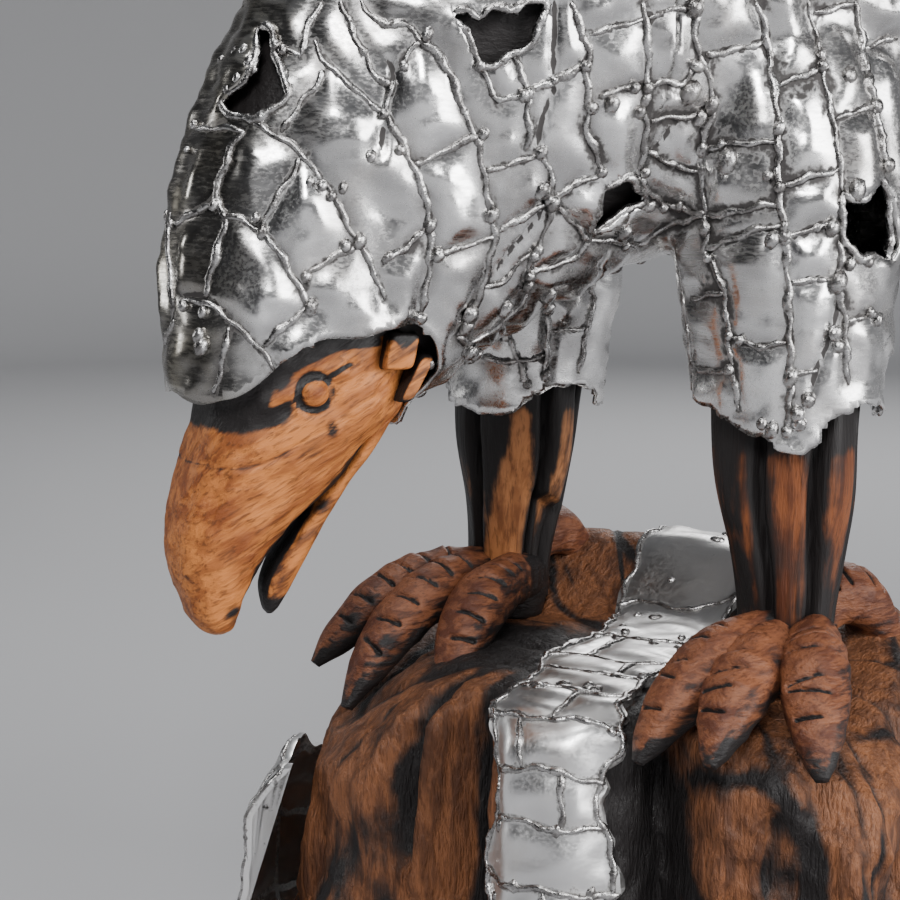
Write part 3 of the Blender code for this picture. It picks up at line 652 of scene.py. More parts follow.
def hidden_lines():
    """Staggered courses by rule, where the camera doesn't see: rings, and short seams between them."""
    draw = np.random.default_rng(11)
    lines = []
    for name, (shape, end) in coat_shapes.items():
        spots = np.linspace(0, end, 200)
        run = run_of(shape(spots, np.zeros(200))) / UNIT
        if name.endswith("leg"):
            bearings = np.linspace(0, 2 * math.pi, 11)[:-1] + draw.uniform(-0.1, 0.1, 10)
            edges = np.append(bearings, bearings[0] + 2 * math.pi)
            for near, far in zip(edges, edges[1:]):
                height = np.linspace(0, end, 60)
                lines.append(shape(height, near + 0.05 * np.sin(height * 2 + near)))
                steps = np.arange(draw.uniform(8, LEG_PANEL), run[-1], LEG_PANEL)
                for step in steps + draw.uniform(-4, 4, len(steps)):
                    spot = np.interp(step, run, spots)
                    lines.append(shape(np.full(9, spot) + np.linspace(0, 0.12, 9), np.linspace(near, far, 9)))
            continue
        rings = np.arange(HIDDEN_PANEL / 2, run[-1], HIDDEN_PANEL)
        rings = np.interp(rings + draw.uniform(-3, 3, len(rings)), run, spots)
        turn = np.linspace(0, 2 * math.pi, 140)
        for ring in rings:
            phase = draw.uniform(0, 6)
            wander = 0.06 * np.sin(3 * turn + phase) + 0.04 * np.sin(7 * turn + phase)
            lines.append(shape(np.clip(ring + wander, 0, end), turn))
        for near, far in zip(rings, rings[1:]):
            girth_run = run_of(shape(np.full(140, (near + far) / 2), turn)) / UNIT
            steps = np.arange(draw.uniform(0, HIDDEN_PANEL), girth_run[-1], HIDDEN_PANEL * 1.05)
            for step in steps + draw.uniform(-4, 4, len(steps)):
                at = np.interp(step, girth_run, turn)
                slant = np.linspace(0, draw.uniform(-0.1, 0.1), 9)
                lines.append(shape(np.linspace(near, far, 9), at + slant))
    found = []
    for line in lines:
        line = dense(line, 0.004)
        near = [skin_tree.find_nearest(Vector(p)) for p in line]
        on = np.array([hit[0] for hit in near])
        keep = np.array([hit[3] for hit in near]) < COURSE_STRAY
        keep &= metal_left(on) > 0.001
        offsets = on - np.array(CAMERA_PLACE)
        away = np.linalg.norm(offsets, axis=1)
        inside = offsets @ np.array(VIEW_TURN)
        inside = (np.abs(inside[:, :2] / -inside[:, 2:] * FOCAL) < PICTURE_REACH).all(1)
        first = [skin_tree.ray_cast(Vector(CAMERA_PLACE), Vector(o).normalized())[3] for o in offsets]
        seen = inside & (np.array([d if d is not None else 9 for d in first]) > away - SIGHT_SLACK)
        found += pieces_of(on, keep & ~seen, LINE_GAP)
    return [dense(run, SEAM_STEP) for run in found if len(run) > 2]


seams = photo_lines(PHOTO_SEAMS) + hidden_lines()
laps = photo_lines(PHOTO_LAPS)


def nearest_gap(points, others):
    """The distance of each point to the nearest of the others, in blocks of whole arrays."""
    others = others.astype(np.float64)
    square = (others**2).sum(1)
    found = []
    for block in np.array_split(points, max(1, len(points) // 1500)):
        gap = square[None] - 2 * block @ others.T + (block**2).sum(1)[:, None]
        found.append(np.sqrt(np.maximum(gap.min(1), 0)))
    return np.concatenate(found)


def waves(points, length, seed, count=7):
    """A smooth uneven field, about -1 to 1: sines of that wave length in scattered directions, summed."""
    draw = np.random.default_rng(seed)
    ways = draw.normal(size=(count, 3))
    ways *= (draw.uniform(0.7, 1.4, count) * 2 * math.pi / length / np.linalg.norm(ways, axis=1))[:, None]
    return np.sin(points @ ways.T + draw.uniform(0, 6.28, count)).sum(1) / math.sqrt(count)


def panel_labels(clear, edges, count):
    """One number for each patch of points clear of the seams: the least index reached over its edges."""
    label = np.arange(count)
    a, b = edges[clear[edges[:, 0]] & clear[edges[:, 1]]].T
    for _ in range(60):
        least = np.minimum(label[a], label[b])
        before = label.copy()
        np.minimum.at(label, a, least)
        np.minimum.at(label, b, least)
        label = label[label]
        if (label == before).all():
            break
    return label


left_over = metal_left(skin_points)
near_edge = np.abs(left_over) < 1.1 * COAT_VOXEL
edge_points = skin_points[near_edge]
slope_step = 0.0006
slopes = np.stack([
    (metal_left(edge_points + axis * slope_step) - metal_left(edge_points - axis * slope_step))
    / (2 * slope_step)
    for axis in np.eye(3)], 1)
slopes -= (slopes * skin_normals[near_edge]).sum(1, keepdims=True) * skin_normals[near_edge]
steep = np.maximum((slopes**2).sum(1, keepdims=True), 0.2)
step_back = left_over[near_edge][:, None] * slopes / steep
snap = np.abs(left_over[near_edge]) < 0.62 * COAT_VOXEL
moved = skin_points.copy()
moved_edge = edge_points - np.where(snap[:, None], step_back, 0)
moved[near_edge] = moved_edge
left_after = left_over.copy()
left_after[near_edge] = np.where(snap, 0, left_over[near_edge])
kept_quads = skin_quads[left_after[skin_quads].mean(1) > 1e-9]

seam_points = np.vstack(seams)[::2]
lap_points = np.vstack(laps)
seam_gap = nearest_gap(moved, seam_points) / UNIT
lap_gap = nearest_gap(moved, lap_points) / UNIT
quad_edges = np.vstack([kept_quads[:, [k, (k + 1) % 4]] for k in range(4)])
labels = panel_labels((seam_gap > PANEL_EDGE) & (lap_gap > PANEL_EDGE), quad_edges, len(moved))
order, panel = np.unique(labels, return_inverse=True)
panel_count = len(order)
panel_size = np.bincount(panel)
panel_middle = np.stack([np.bincount(panel, moved[:, k]) / panel_size for k in range(3)], 1)
panel_tilt = rng.normal(size=(panel_count, 3)) * PANEL_TILT
panel_tone = rng.uniform(0, 1, panel_count)
away_from_seam = 1 - np.exp(-((np.minimum(seam_gap, 1.5 * lap_gap) / PILLOW_REACH) ** 2))
tilt = np.clip(((moved - panel_middle[panel]) * panel_tilt[panel]).sum(1), -MOST_TILT, MOST_TILT)
dents = DENT * (waves(moved, 0.034, 3) + 0.6 * np.abs(waves(moved, 0.021, 4)) + 0.12 * waves(moved, 0.012, 5))
grid_of = unplace(moved)
smooth_hood = np.clip((grid_of[:, 0] - 120) / 60, 0, 1)
rise_out = PILLOW * (away_from_seam - 0.45) + (tilt + dents * (1 + 0.15 * smooth_hood)) * away_from_seam
rise_out -= LAP_DEPTH * np.exp(-((lap_gap / 1.5) ** 2))
moved = moved + skin_normals * rise_out[:, None]
sooty = (
    0.95 * np.exp(-(((grid_of[:, 0] - 55) / 48) ** 2) - ((grid_of[:, 2] - 255) / 95) ** 2)
    + 0.35 * np.exp(-(((grid_of[:, 0] + 120) / 90) ** 2))
    + 0.75 * np.exp(-(((grid_of[:, 0] - 222) / 14) ** 2) - ((grid_of[:, 1] + 8) / 16) ** 2
                    - ((grid_of[:, 2] - 175) / 12) ** 2)
)
# Painted dark reflection: the front of the hood darkened, not on the bird's left side and less on its right
painted_dark_reflection = np.clip((grid_of[:, 0] - 186) / 30, 0, 1) * np.clip((46 - grid_of[:, 1]) / 16, 0, 1)
painted_dark_reflection *= 1 - 0.6 * np.clip((-30 - grid_of[:, 1]) / 15, 0, 1)


def coat_piece(name, faces):
    """The part of the skin with these faces, given the sheet's wall."""
    used, faces = np.unique(faces, return_inverse=True)
    made = put_mesh(name, moved[used], faces.reshape(-1, 4))
    for label, values in (("seam_gap", seam_gap), ("lap_gap", lap_gap), ("panel_tone", panel_tone[panel]),
                          ("sooty", sooty), ("painted_dark_reflection", painted_dark_reflection), ("open_gap", left_over / UNIT)):
        tag(made, label, values[used])
    wall = made.modifiers.new("sheet wall", "SOLIDIFY")
    wall.thickness = SHEET_WALL
    wall.offset = -1
    return made


front = grid_of[kept_quads].mean(1)[:, 0] > COAT_SPLIT
coat_front = coat_piece("coat_front", kept_quads[front])
coat_rear = coat_piece("coat_rear", kept_quads[~front])


def group(name, inputs, outputs):
    """An empty shader node group with these sockets: (name, kind, value) in and (name, kind) out."""
    tree = bpy.data.node_groups.new(name, "ShaderNodeTree")
    kinds = {"value": "NodeSocketFloat", "colour": "NodeSocketColor", "vector": "NodeSocketVector"}
    for label, kind, value in inputs:
        socket = tree.interface.new_socket(label, in_out="INPUT", socket_type=kinds[kind])
        if value is not None:
            socket.default_value = value
    for label, kind in outputs:
        tree.interface.new_socket(label, in_out="OUTPUT", socket_type=kinds[kind])
    return tree, tree.nodes.new("NodeGroupInput").outputs, tree.nodes.new("NodeGroupOutput").inputs


def attribute_of(tree, name):
    """The number that tag() gave each point."""
    return node(tree, "Attribute", attribute_name=name).outputs["Fac"]


def noise(tree, where, scale, detail=4.0, roughness=0.55, stretch=None):
    """Noise on a place, its cells stretched along the axes where asked."""
    if stretch is not None:
        where = node(tree, "Mapping", {"Vector": where, "Scale": stretch}).outputs["Vector"]
    return node(tree, "TexNoise",
                {"Vector": where, "Scale": scale, "Detail": detail, "Roughness": roughness}).outputs["Fac"]


# Brushed and torched aluminium: scratches, a cloudy sheen, soot, painted shade and a painted dark reflection,
# shared by every piece of metal
metal_look, metal_in, metal_out = group(
    "torched_aluminium",
    [("Place", "vector", None), ("Tone", "value", 0.5), ("Soot", "value", 0.0), ("Painted Dark Reflection", "value", 0.0),
     ("Crust", "value", 0.0), ("Shade And Oxide", "value", 0.0)],
    [("Colour", "colour"), ("Roughness", "value"), ("Metallic", "value"), ("Height", "value")])
cloud = noise(metal_look, metal_in["Place"], 38, 5, 0.6)
grit = noise(metal_look, metal_in["Place"], 420, 4, 0.7)
brush_one = noise(metal_look, metal_in["Place"], 60, 3, 0.6, (1.0, 9.0, 14.0))
brush_two = noise(metal_look, metal_in["Place"], 70, 3, 0.6, (10.0, 1.5, 9.0))
brushed = node(metal_look, "Mix",
               {0: ramp(metal_look, metal_in["Tone"], 0.35, 0.65), 2: brush_one, 3: brush_two}).outputs[0]
silver = mix_colour(metal_look, ramp(metal_look, metal_in["Tone"], 0.0, 1.0), (0.58, 0.575, 0.57, 1),
                    (0.88, 0.875, 0.87, 1))
silver = mix_colour(metal_look, ramp(metal_look, cloud, 0.45, 0.75, 0.0, 0.30), silver, (0.62, 0.56, 0.51, 1))
# Painted dark reflection: a dark brownish grey mixed in where the hood would mirror dark surroundings
painted_dark_reflection_share = math_node(metal_look, "MULTIPLY", metal_in["Painted Dark Reflection"],
                        ramp(metal_look, cloud, 0.35, 0.65, 0.55, 0.95))
silver = mix_colour(metal_look, painted_dark_reflection_share, silver, (0.27, 0.25, 0.205, 1))
# Painted shade and grey oxide: the metal darkened towards a dull grey
silver = mix_colour(metal_look, metal_in["Shade And Oxide"], silver, (0.21, 0.20, 0.195, 1))
soot_edge = math_node(metal_look, "ADD", metal_in["Soot"], ramp(metal_look, grit, 0.3, 0.7, -0.16, 0.16))
soot_share = ramp(metal_look, soot_edge, 0.22, 0.80)
metal_look.links.new(mix_colour(metal_look, soot_share, silver, (0.042, 0.038, 0.037, 1)),
                     metal_out["Colour"])
sheen = math_node(metal_look, "ADD", ramp(metal_look, brushed, 0.3, 0.75, 0.16, 0.32),
                  ramp(metal_look, cloud, 0.4, 0.7, 0.0, 0.08))
rough = node(metal_look, "Mix", {0: soot_share, 2: sheen, 3: 0.62}).outputs[0]
metal_look.links.new(rough, metal_out["Roughness"])
metal_look.links.new(ramp(metal_look, soot_share, 0.0, 1.0, 1.0, 0.25), metal_out["Metallic"])
relief = math_node(metal_look, "MULTIPLY", brushed, 0.12)
relief = math_node(metal_look, "ADD", relief, ramp(metal_look, cloud, 0.2, 0.8, 0.0, 1.2))
relief = math_node(metal_look, "ADD", relief, math_node(metal_look, "MULTIPLY", grit, metal_in["Crust"]))
metal_look.links.new(relief, metal_out["Height"])


def metal_finish(name, tone, soot, painted_dark_reflection=None, bump=0.16, distance=0.0004, duller=0.0, crust=0.0, shade_and_oxide=None):
    """A material of torched aluminium; tone, soot and the painted dark reflection are functions that build
    their values in it.
    """
    made, tree, shader = finish(name, 0.25, 1.0)
    where = node(tree, "TexCoord").outputs["Object"]
    look_node = node(tree, "Group", node_tree=metal_look)
    tree.links.new(where, look_node.inputs["Place"])
    look_node.inputs["Crust"].default_value = crust
    for label, build in (("Tone", tone), ("Soot", soot), ("Painted Dark Reflection", painted_dark_reflection), ("Shade And Oxide", shade_and_oxide)):
        if build is not None:
            tree.links.new(build(tree, where), look_node.inputs[label])
    tree.links.new(look_node.outputs["Colour"], shader["Base Color"])
    tree.links.new(math_node(tree, "ADD", look_node.outputs["Roughness"], duller), shader["Roughness"])
    tree.links.new(look_node.outputs["Metallic"], shader["Metallic"])
    bumped = node(tree, "Bump",
                  {"Height": look_node.outputs["Height"], "Strength": bump, "Distance": distance})
    tree.links.new(bumped.outputs["Normal"], shader["Normal"])
    return made


def sheet_soot(tree, where):
    """Soot beside the seams, in the laps and in cloudy patches where the sheet was torched most."""
    blot = noise(tree, where, 46, 3, 0.55)
    level = attribute_of(tree, "sooty")
    gap = attribute_of(tree, "seam_gap")
    uneven = ramp(tree, noise(tree, where, 85, 2, 0.5), 0.35, 0.62, 0.45, 1.0)
    most = math_node(tree, "ADD", math_node(tree, "MULTIPLY", level, 0.45), 0.72)
    edge = math_node(tree, "MULTIPLY", math_node(tree, "MULTIPLY", ramp(tree, gap, 3.3, 1.7), uneven), most)
    reach = math_node(tree, "MULTIPLY", level, 0.15)
    haze = ramp(tree, math_node(tree, "ADD", blot, reach), 0.54, 0.70, 0.0, 0.85)
    beside = math_node(tree, "MULTIPLY", ramp(tree, gap, 8.0, 2.0), haze)
    patch = ramp(tree, math_node(tree, "ADD", blot, reach), 0.68, 0.82, 0.0, 0.85)
    lap = ramp(tree, attribute_of(tree, "lap_gap"), 2.0, 0.9, 0.0, 1.2)
    rim = ramp(tree, attribute_of(tree, "open_gap"), 2.2, 0.6, 0.0, 0.35)
    worst = math_node(tree, "MAXIMUM", math_node(tree, "MAXIMUM", beside, patch),
                      math_node(tree, "MAXIMUM", edge, rim))
    return math_node(tree, "MAXIMUM", worst, lap)


def sheet_shade_and_oxide(tree, where):
    """Painted shade beside the seams, broken up by clouds, so that each panel looks bulged; grey oxide in
    broad clouds.
    """
    beside = ramp(tree, attribute_of(tree, "seam_gap"), 8.0, 1.0, 0.0, 0.80)
    cloudy = ramp(tree, noise(tree, where, 34, 2, 0.5), 0.38, 0.62, 0.15, 1.0)
    broad_cloud = ramp(tree, noise(tree, where, 20, 2, 0.5), 0.50, 0.64, 0.0, 0.50)
    return math_node(tree, "MAXIMUM", math_node(tree, "MULTIPLY", beside, cloudy), broad_cloud)


sheet_metal = metal_finish("coat_sheet", lambda tree, where: attribute_of(tree, "panel_tone"), sheet_soot,
                           lambda tree, where: attribute_of(tree, "painted_dark_reflection"), shade_and_oxide=sheet_shade_and_oxide)
for made in (coat_front, coat_rear):
    made.data.materials.append(sheet_metal)
    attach(made, "root")
    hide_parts("metal_coat")

# The weld beads and drops on the coat.
# Each seam was run by hand with filler rod, so the bead wanders and swells, and drops stand at crossings.
# They are fused to the sheet, a little brighter than it, with black between the ripples.
BEAD_HALF_WIDTH, BEAD_HEIGHT, BEAD_SIDES = 0.0016, 0.0016, 6
# Drops of weld metal and nail-like studs: pixel, radius in pixels
PHOTO_DROPS = [
    ((200, 336), 7), ((202, 346), 8), ((203, 312), 5), ((184, 306), 6), ((311, 307), 7),
    ((256, 218), 5), ((261, 234), 4), ((195, 125), 5), ((236, 52), 5), ((250, 62), 6), ((238, 78), 5),
    ((228, 90), 5), ((244, 50), 5), ((255, 70), 4), ((370, 156), 7), ((400, 150), 6), ((427, 35), 6),
    ((404, 66), 5), ((384, 114), 5), ((430, 226), 6), ((484, 134), 5), ((492, 215), 7), ((541, 190), 8),
    ((546, 192), 6), ((586, 66), 6), ((529, 93), 6), ((592, 108), 7), ((612, 104), 8), ((622, 118), 4),
    ((690, 92), 10), ((695, 8), 9), ((688, 100), 5), ((712, 105), 7), ((700, 118), 7), ((728, 162), 11),
    ((726, 178), 7), ((722, 144), 5), ((848, 76), 9), ((822, 54), 5), ((779, 128), 6), ((768, 176), 6),
    ((832, 228), 8), ((856, 190), 10), ((772, 240), 8), ((786, 240), 5), ((838, 282), 9),
    ((850, 264), 6), ((868, 262), 6), ((835, 333), 8), ((838, 346), 7), ((808, 400), 8),
    ((797, 414), 9), ((800, 424), 7), ((772, 430), 7), ((762, 424), 6), ((706, 228), 7),
    ((650, 206), 6), ((664, 208), 6), ((680, 206), 5), ((528, 286), 6), ((534, 256), 7),
    ((505, 308), 8), ((470, 314), 9), ((466, 326), 8), ((430, 364), 5), ((453, 368), 4),
    ((624, 232), 8), ((626, 246), 5), ((645, 172), 6), ((640, 112), 6), ((635, 88), 6), ((648, 88), 6),
    ((878, 320), 5), ((870, 312), 5), ((740, 340), 5), ((346, 246), 6), ((310, 182), 5),
    ((322, 186), 6), ((332, 196), 5), ((343, 188), 5), ((602, 172), 6), ((283, 50), 5), ((222, 60), 4),
    ((188, 150), 4),
]
DROP_PIXEL = 0.00042                                 # a drop's radius for each pixel of it in the photograph
END_DROPS, END_DROP_RADII = 0.22, (0.0018, 0.0032)   # the share of the seams' ends that get one too
bead_rng = np.random.default_rng(23)


def surface_normals(tree, points):
    """The surface's way out at each of a few points."""
    return np.array([tree.find_nearest(Vector(p))[1] for p in points])


def on_skin(points):
    """Points of the bare skin carried out with its panels: the mean rise of the seams is below nought."""
    return points - surface_normals(skin_tree, points) * PILLOW * 0.42


def bead(path, out, half_width, height, draw):
    """Rings across a path: ellipses as wide and high as asked, each swollen by a share and pushed aside.

    The first and last ring shrink to half, so the ends look like stops of the torch.
    """
    count = len(path)
    along = np.gradient(path, axis=0)
    along /= np.linalg.norm(along, axis=1)[:, None] + 1e-12
    across = np.cross(along, out)
    across /= np.linalg.norm(across, axis=1)[:, None] + 1e-12
    swell = draw.uniform(0.74, 1.30, count)
    swell = swell * (1 + 0.18 * np.sin(np.arange(count) * 0.55 + draw.uniform(0, 6)))
    ends = np.minimum(1, 0.5 + 0.5 * np.minimum(np.arange(count), np.arange(count)[::-1]) / 1.5)
    aside = 0.35 * half_width * np.sin(np.arange(count) * 0.9 + draw.uniform(0, 6))
    turn = np.linspace(0, 2 * math.pi, BEAD_SIDES, endpoint=False)
    lumps = draw.uniform(0.88, 1.12, (count, BEAD_SIDES))
    size = (swell * ends)[:, None] * lumps
    return (path[:, None] + across[:, None] * (aside[:, None] + half_width * size * np.cos(turn))[..., None]
            + out[:, None] * (height * size * np.sin(turn))[..., None])


def drop(middle, out, radius, draw):
    """A lump of weld: rings of a squashed ball about the surface's way out, each point a little uneven."""
    level = np.cross(out, (0.3, 0.2, 1.0))
    level /= np.linalg.norm(level)
    rise = np.cross(out, level)
    lift = np.linspace(-1.2, 1.35, 9)[:, None]
    turn = np.linspace(0, 2 * math.pi, 12, endpoint=False)
    wide = np.cos(lift) * radius * draw.uniform(0.88, 1.12, (9, 12))
    long_way = draw.uniform(1.0, 1.5)
    return (middle + (wide * np.cos(turn))[..., None] * level
            + (wide * long_way * np.sin(turn))[..., None] * rise
            + (np.sin(lift) * radius * 0.85 * np.ones(12))[..., None] * out)


def bead_set(name, lines, drops, tree, half_width, height, draw):
    """All beads and drops of one part of the coat as one object."""
    grids = []
    for line in lines:
        out = surface_normals(tree, line)
        grids.append(bead(line, out, half_width * draw.uniform(0.85, 1.2), height * draw.uniform(0.85, 1.2),
                          draw))
    for middle, radius in drops:
        out = surface_normals(tree, [middle])[0]
        grids.append(drop(middle + out * radius * 0.25, out, radius, draw))
    made = loft(name, grids)
    tag(made, "soot_here", draw.uniform(0, 1, len(made.data.vertices)))
    return made


def bead_soot(tree, where):
    """Black in the pits between the ripples, more where the place is sooty."""
    return ramp(tree, noise(tree, where, 330, 4, 0.6), 0.50, 0.70, 0.0, 0.75)


bead_metal = metal_finish(
    "weld_bead", lambda tree, where: ramp(tree, noise(tree, where, 90), 0.3, 0.7, 0.0, 0.5),
    bead_soot, None, 0.8, 0.0008, 0.02, 0.5,
    lambda tree, where: ramp(tree, noise(tree, where, 150, 3), 0.35, 0.65, 0.25, 0.95))
drop_hits, _ = pixels_on(skin_tree, [pixel for pixel, _ in PHOTO_DROPS])
drop_sizes = [size for pixel, size in PHOTO_DROPS
              if skin_tree.ray_cast(Vector(CAMERA_PLACE), pixel_ray(pixel))[0] is not None]
all_drops = [(np.array(hit), size * DROP_PIXEL) for hit, size in zip(drop_hits, drop_sizes)]
seam_ends = [line[0] for line in seams] + [line[-1] for line in seams]
for end_point in seam_ends:
    if bead_rng.uniform() < END_DROPS:
        all_drops.append((end_point, bead_rng.uniform(*END_DROP_RADII)))
seam_front = [unplace(line.mean(0)[None])[0, 0] > COAT_SPLIT for line in seams]
seam_side = [line.mean(0)[0] > 0 for line in seams]
bead_parts = {
    "beads_front": lambda f, left: f, "beads_left": lambda f, left: not f and left,
    "beads_right": lambda f, left: not f and not left,
}
for part_name, belongs in bead_parts.items():
    part_lines = [on_skin(line) for line, f, left in zip(seams, seam_front, seam_side) if belongs(f, left)]
    part_drops = [(middle, radius) for middle, radius in all_drops
                  if belongs(unplace(middle[None])[0, 0] > COAT_SPLIT, middle[0] > 0)]
    made = bead_set(part_name, part_lines, part_drops, skin_tree, BEAD_HALF_WIDTH, BEAD_HEIGHT, bead_rng)
    made.data.materials.append(bead_metal)
    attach(made, "root")

# The holes' rims.
# Aluminium again: the torn edges of the four holes melted under the torch and drew back into an uneven lip,
# so each rim is a bead along the hole's outline, fused to the sheet.
RIM_HALF_WIDTH, RIM_HEIGHT = 0.0019, 0.0019
rim_lines = []
for middle, facing, level, rise, outline in hole_frames.values():
    closed = np.vstack([outline, outline[:1]])
    flat = dense(closed, 0.0022)
    lifted = middle + flat[:, :1] * level + flat[:, 1:] * rise
    on = np.array([skin_tree.ray_cast(Vector(p + facing * 0.02), Vector(-facing))[0] or p for p in lifted])
    rim_lines.append(on)
rims = bead_set("hole_rims", rim_lines, [], skin_tree, RIM_HALF_WIDTH, RIM_HEIGHT, bead_rng)
rims.data.materials.append(bead_metal)
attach(rims, "root")

# The wood core under the coat.
# The bird is carved from one log of orange-brown wood and scorched black in its hollows, then oiled.
# The same darkening also paints shade: under the coat, on the head's throat side, in the cere furrow and in
# the beak's cut
GAP_UNDER = 8.0
char_look, char_in, char_out = group(
    "scorched_wood",
    [("Place", "vector", None), ("Char And Shade", "value", 0.0), ("Red", "value", 0.0),
     ("Light", "colour", (0.42, 0.19, 0.075, 1)),
     ("Dark", "colour", (0.16, 0.055, 0.022, 1)), ("Grain Stretch", "vector", (1.0, 1.0, 0.12)),
     ("Grain", "value", 1.0), ("Ragged", "value", 1.0)],
    [("Colour", "colour"), ("Roughness", "value"), ("Height", "value")])
grain_place = node(char_look, "Mapping",
                   {"Vector": char_in["Place"], "Scale": char_in["Grain Stretch"]}).outputs["Vector"]
broad = noise(char_look, char_in["Place"], 26, 4, 0.55)
streak = node(char_look, "TexNoise",
              {"Vector": grain_place, "Scale": 170.0, "Detail": 5.0, "Roughness": 0.6,
               "Distortion": 0.4}).outputs["Fac"]
fibre = node(char_look, "TexNoise",
             {"Vector": grain_place, "Scale": 620.0, "Detail": 3.0, "Roughness": 0.6}).outputs["Fac"]
wood_mix = math_node(char_look, "ADD", ramp(char_look, broad, 0.36, 0.64, -0.1, 0.6),
                     ramp(char_look, streak, 0.38, 0.62, -0.2, 0.65))
wood_colour = mix_colour(char_look, math_node(char_look, "MULTIPLY", wood_mix, char_in["Grain"], True),
                         char_in["Light"], char_in["Dark"])
wood_colour = mix_colour(char_look,
                         math_node(char_look, "MULTIPLY", ramp(char_look, fibre, 0.50, 0.68, 0.0, 0.7),
                                   char_in["Grain"]), wood_colour, (0.055, 0.018, 0.007, 1))
wood_colour = mix_colour(char_look, char_in["Red"], wood_colour, (0.22, 0.062, 0.028, 1))
ragged_edge = math_node(char_look, "MULTIPLY", char_in["Ragged"],
                        ramp(char_look, streak, 0.2, 0.8, -0.28, 0.28))
char_and_shade_edge = math_node(char_look, "ADD", char_in["Char And Shade"], ragged_edge)
char_and_shade_edge = math_node(char_look, "ADD", char_and_shade_edge, ramp(char_look, broad, 0.2, 0.8, -0.22, 0.22))
# Char and painted shade both darken the wood towards black here
char_and_shade_share = ramp(char_look, char_and_shade_edge, 0.32, 0.72)
char_look.links.new(mix_colour(char_look, char_and_shade_share, wood_colour, (0.012, 0.010, 0.010, 1)),
                    char_out["Colour"])
char_look.links.new(ramp(char_look, streak, 0.2, 0.8, 0.42, 0.62), char_out["Roughness"])
height = math_node(char_look, "ADD", ramp(char_look, streak, 0.3, 0.7),
                   ramp(char_look, fibre, 0.3, 0.7, 0.0, 0.5))
char_look.links.new(height, char_out["Height"])


def wood_finish(name, light, dark, stretch, red=0.0, bump=0.5, distance=0.0005, turn=(0, 0, 0), coat=0.03,
                ragged=1.0, grain=1.0):
    """A scorched wood material; the points' numbers say where it is burnt or painted with shade."""
    made, tree, shader = finish(name, 0.5, 0.0, Coat_Weight=coat, Coat_Roughness=0.35,
                                Specular_IOR_Level=0.28)
    where = node(tree, "TexCoord").outputs["Object"]
    turned = node(tree, "Mapping", {"Vector": where, "Rotation": turn}).outputs["Vector"]
    look_node = node(tree, "Group", {}, node_tree=char_look)
    for label, value in (("Light", light), ("Dark", dark), ("Grain Stretch", stretch), ("Red", red),
                         ("Ragged", ragged), ("Grain", grain)):
        look_node.inputs[label].default_value = value
    tree.links.new(turned, look_node.inputs["Place"])
    tree.links.new(attribute_of(tree, "char_and_shade"), look_node.inputs["Char And Shade"])
    tree.links.new(look_node.outputs["Colour"], shader["Base Color"])
    tree.links.new(look_node.outputs["Roughness"], shader["Roughness"])
    bumped = node(tree, "Bump",
                  {"Height": look_node.outputs["Height"], "Strength": bump, "Distance": distance})
    tree.links.new(bumped.outputs["Normal"], shader["Normal"])
    return made


def wooden(made, finish_of, char_and_shade):
    """Gives a carved piece its char and painted shade, its finish and its place in the part."""
    tag(made, "char_and_shade", char_and_shade)
    made.data.materials.append(finish_of)
    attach(made, "root")
    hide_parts("carved_eagle")
    return made


# Nearly black: char, and painted shade for the dark under the coat
core_wood = wood_finish("core_wood", (0.07, 0.04, 0.03, 1), (0.03, 0.018, 0.014, 1), (1.0, 0.15, 1.0))
WING_TIPS = [(-325, 48, 334, 14, 28, 44), (-388, 40, 322, 10, 13, 45)]
core_grids = [sheet_grid(lambda spot, turn: place(profile_point(BODY[3:], spot, turn, GAP_UNDER)),
                         np.linspace(0, len(BODY) - 4, 110), 72)]
for sign in (1, -1):
    core_grids.append(sheet_grid(
        lambda spot, turn: place(wing_point(sign, WING[1:7] + WING_TIPS, spot, turn, GAP_UNDER)),
        np.linspace(0, 7, 90), 32))
core = loft("wood_core", core_grids)
core_points = points_of(core.data)
core_grid = unplace(core_points)
core_lift = 0.0012 * waves(core_points, 0.03, 31)
core.data.vertices.foreach_set("co",
                               (core_points * (1 + core_lift[:, None] * 0.1)).astype(np.float32).ravel())
wooden(core, core_wood, np.clip((core_grid[:, 0] + 330) / 60, 0.35, 0.95))

# The head with the upper beak.
# One block of the log, cut with a gouge and filed: flat cheeks, a brow, a furrow where the beak starts.
# It runs on into the core, and its brow was scorched black with a torch and rubbed back on the ridge.
HEAD = [
    # rear forward, rear up, front forward, front up, half width
    (146, 215, 234, 222, 34), (146, 190, 241, 192, 38), (144, 166, 244, 170, 40),
    (144, 149, 243, 151, 40), (148, 134, 242, 136, 39), (165, 119, 248, 117, 36),
    (179, 102, 254, 98, 32), (198, 86, 257, 80, 28), (213, 69, 256, 64, 24), (221, 54, 252, 51, 20),
    (225, 43, 248, 41, 16.5), (228, 36, 243, 35, 12), (231, 33, 238, 32.5, 6),
]
EYE = (199, 40, 146, 7)
CERE_FURROW = [(256, 116), (248, 114), (238, 113), (226, 114), (215, 118), (204, 124)]
BROW_RIDGE = [(221, 141), (212, 145), (203, 150), (194, 153.5), (186, 156)]
BROW_TAIL = [(194, 151), (188, 156), (182, 158)]
HEAD_RINGS, HEAD_AROUND = 152, 172
head_spots = np.linspace(0, len(HEAD) - 1, HEAD_RINGS)
head_turn = np.linspace(0, 2 * math.pi, HEAD_AROUND, endpoint=False)
head_spot, head_around = np.meshgrid(head_spots, head_turn, indexing="ij")
head_grid = profile_point(HEAD, head_spot, head_around, 0.0, 2.5)


def groove(forward, up, line, width, depth):
    """How much a furrow along a line of (forward, up) points takes away: a bell of that width across it."""
    line = dense(line, 0.8)
    gap = nearest_gap(np.stack([forward.ravel(), up.ravel()], 1), line).reshape(forward.shape)
    return depth * np.exp(-((gap / width) ** 2))


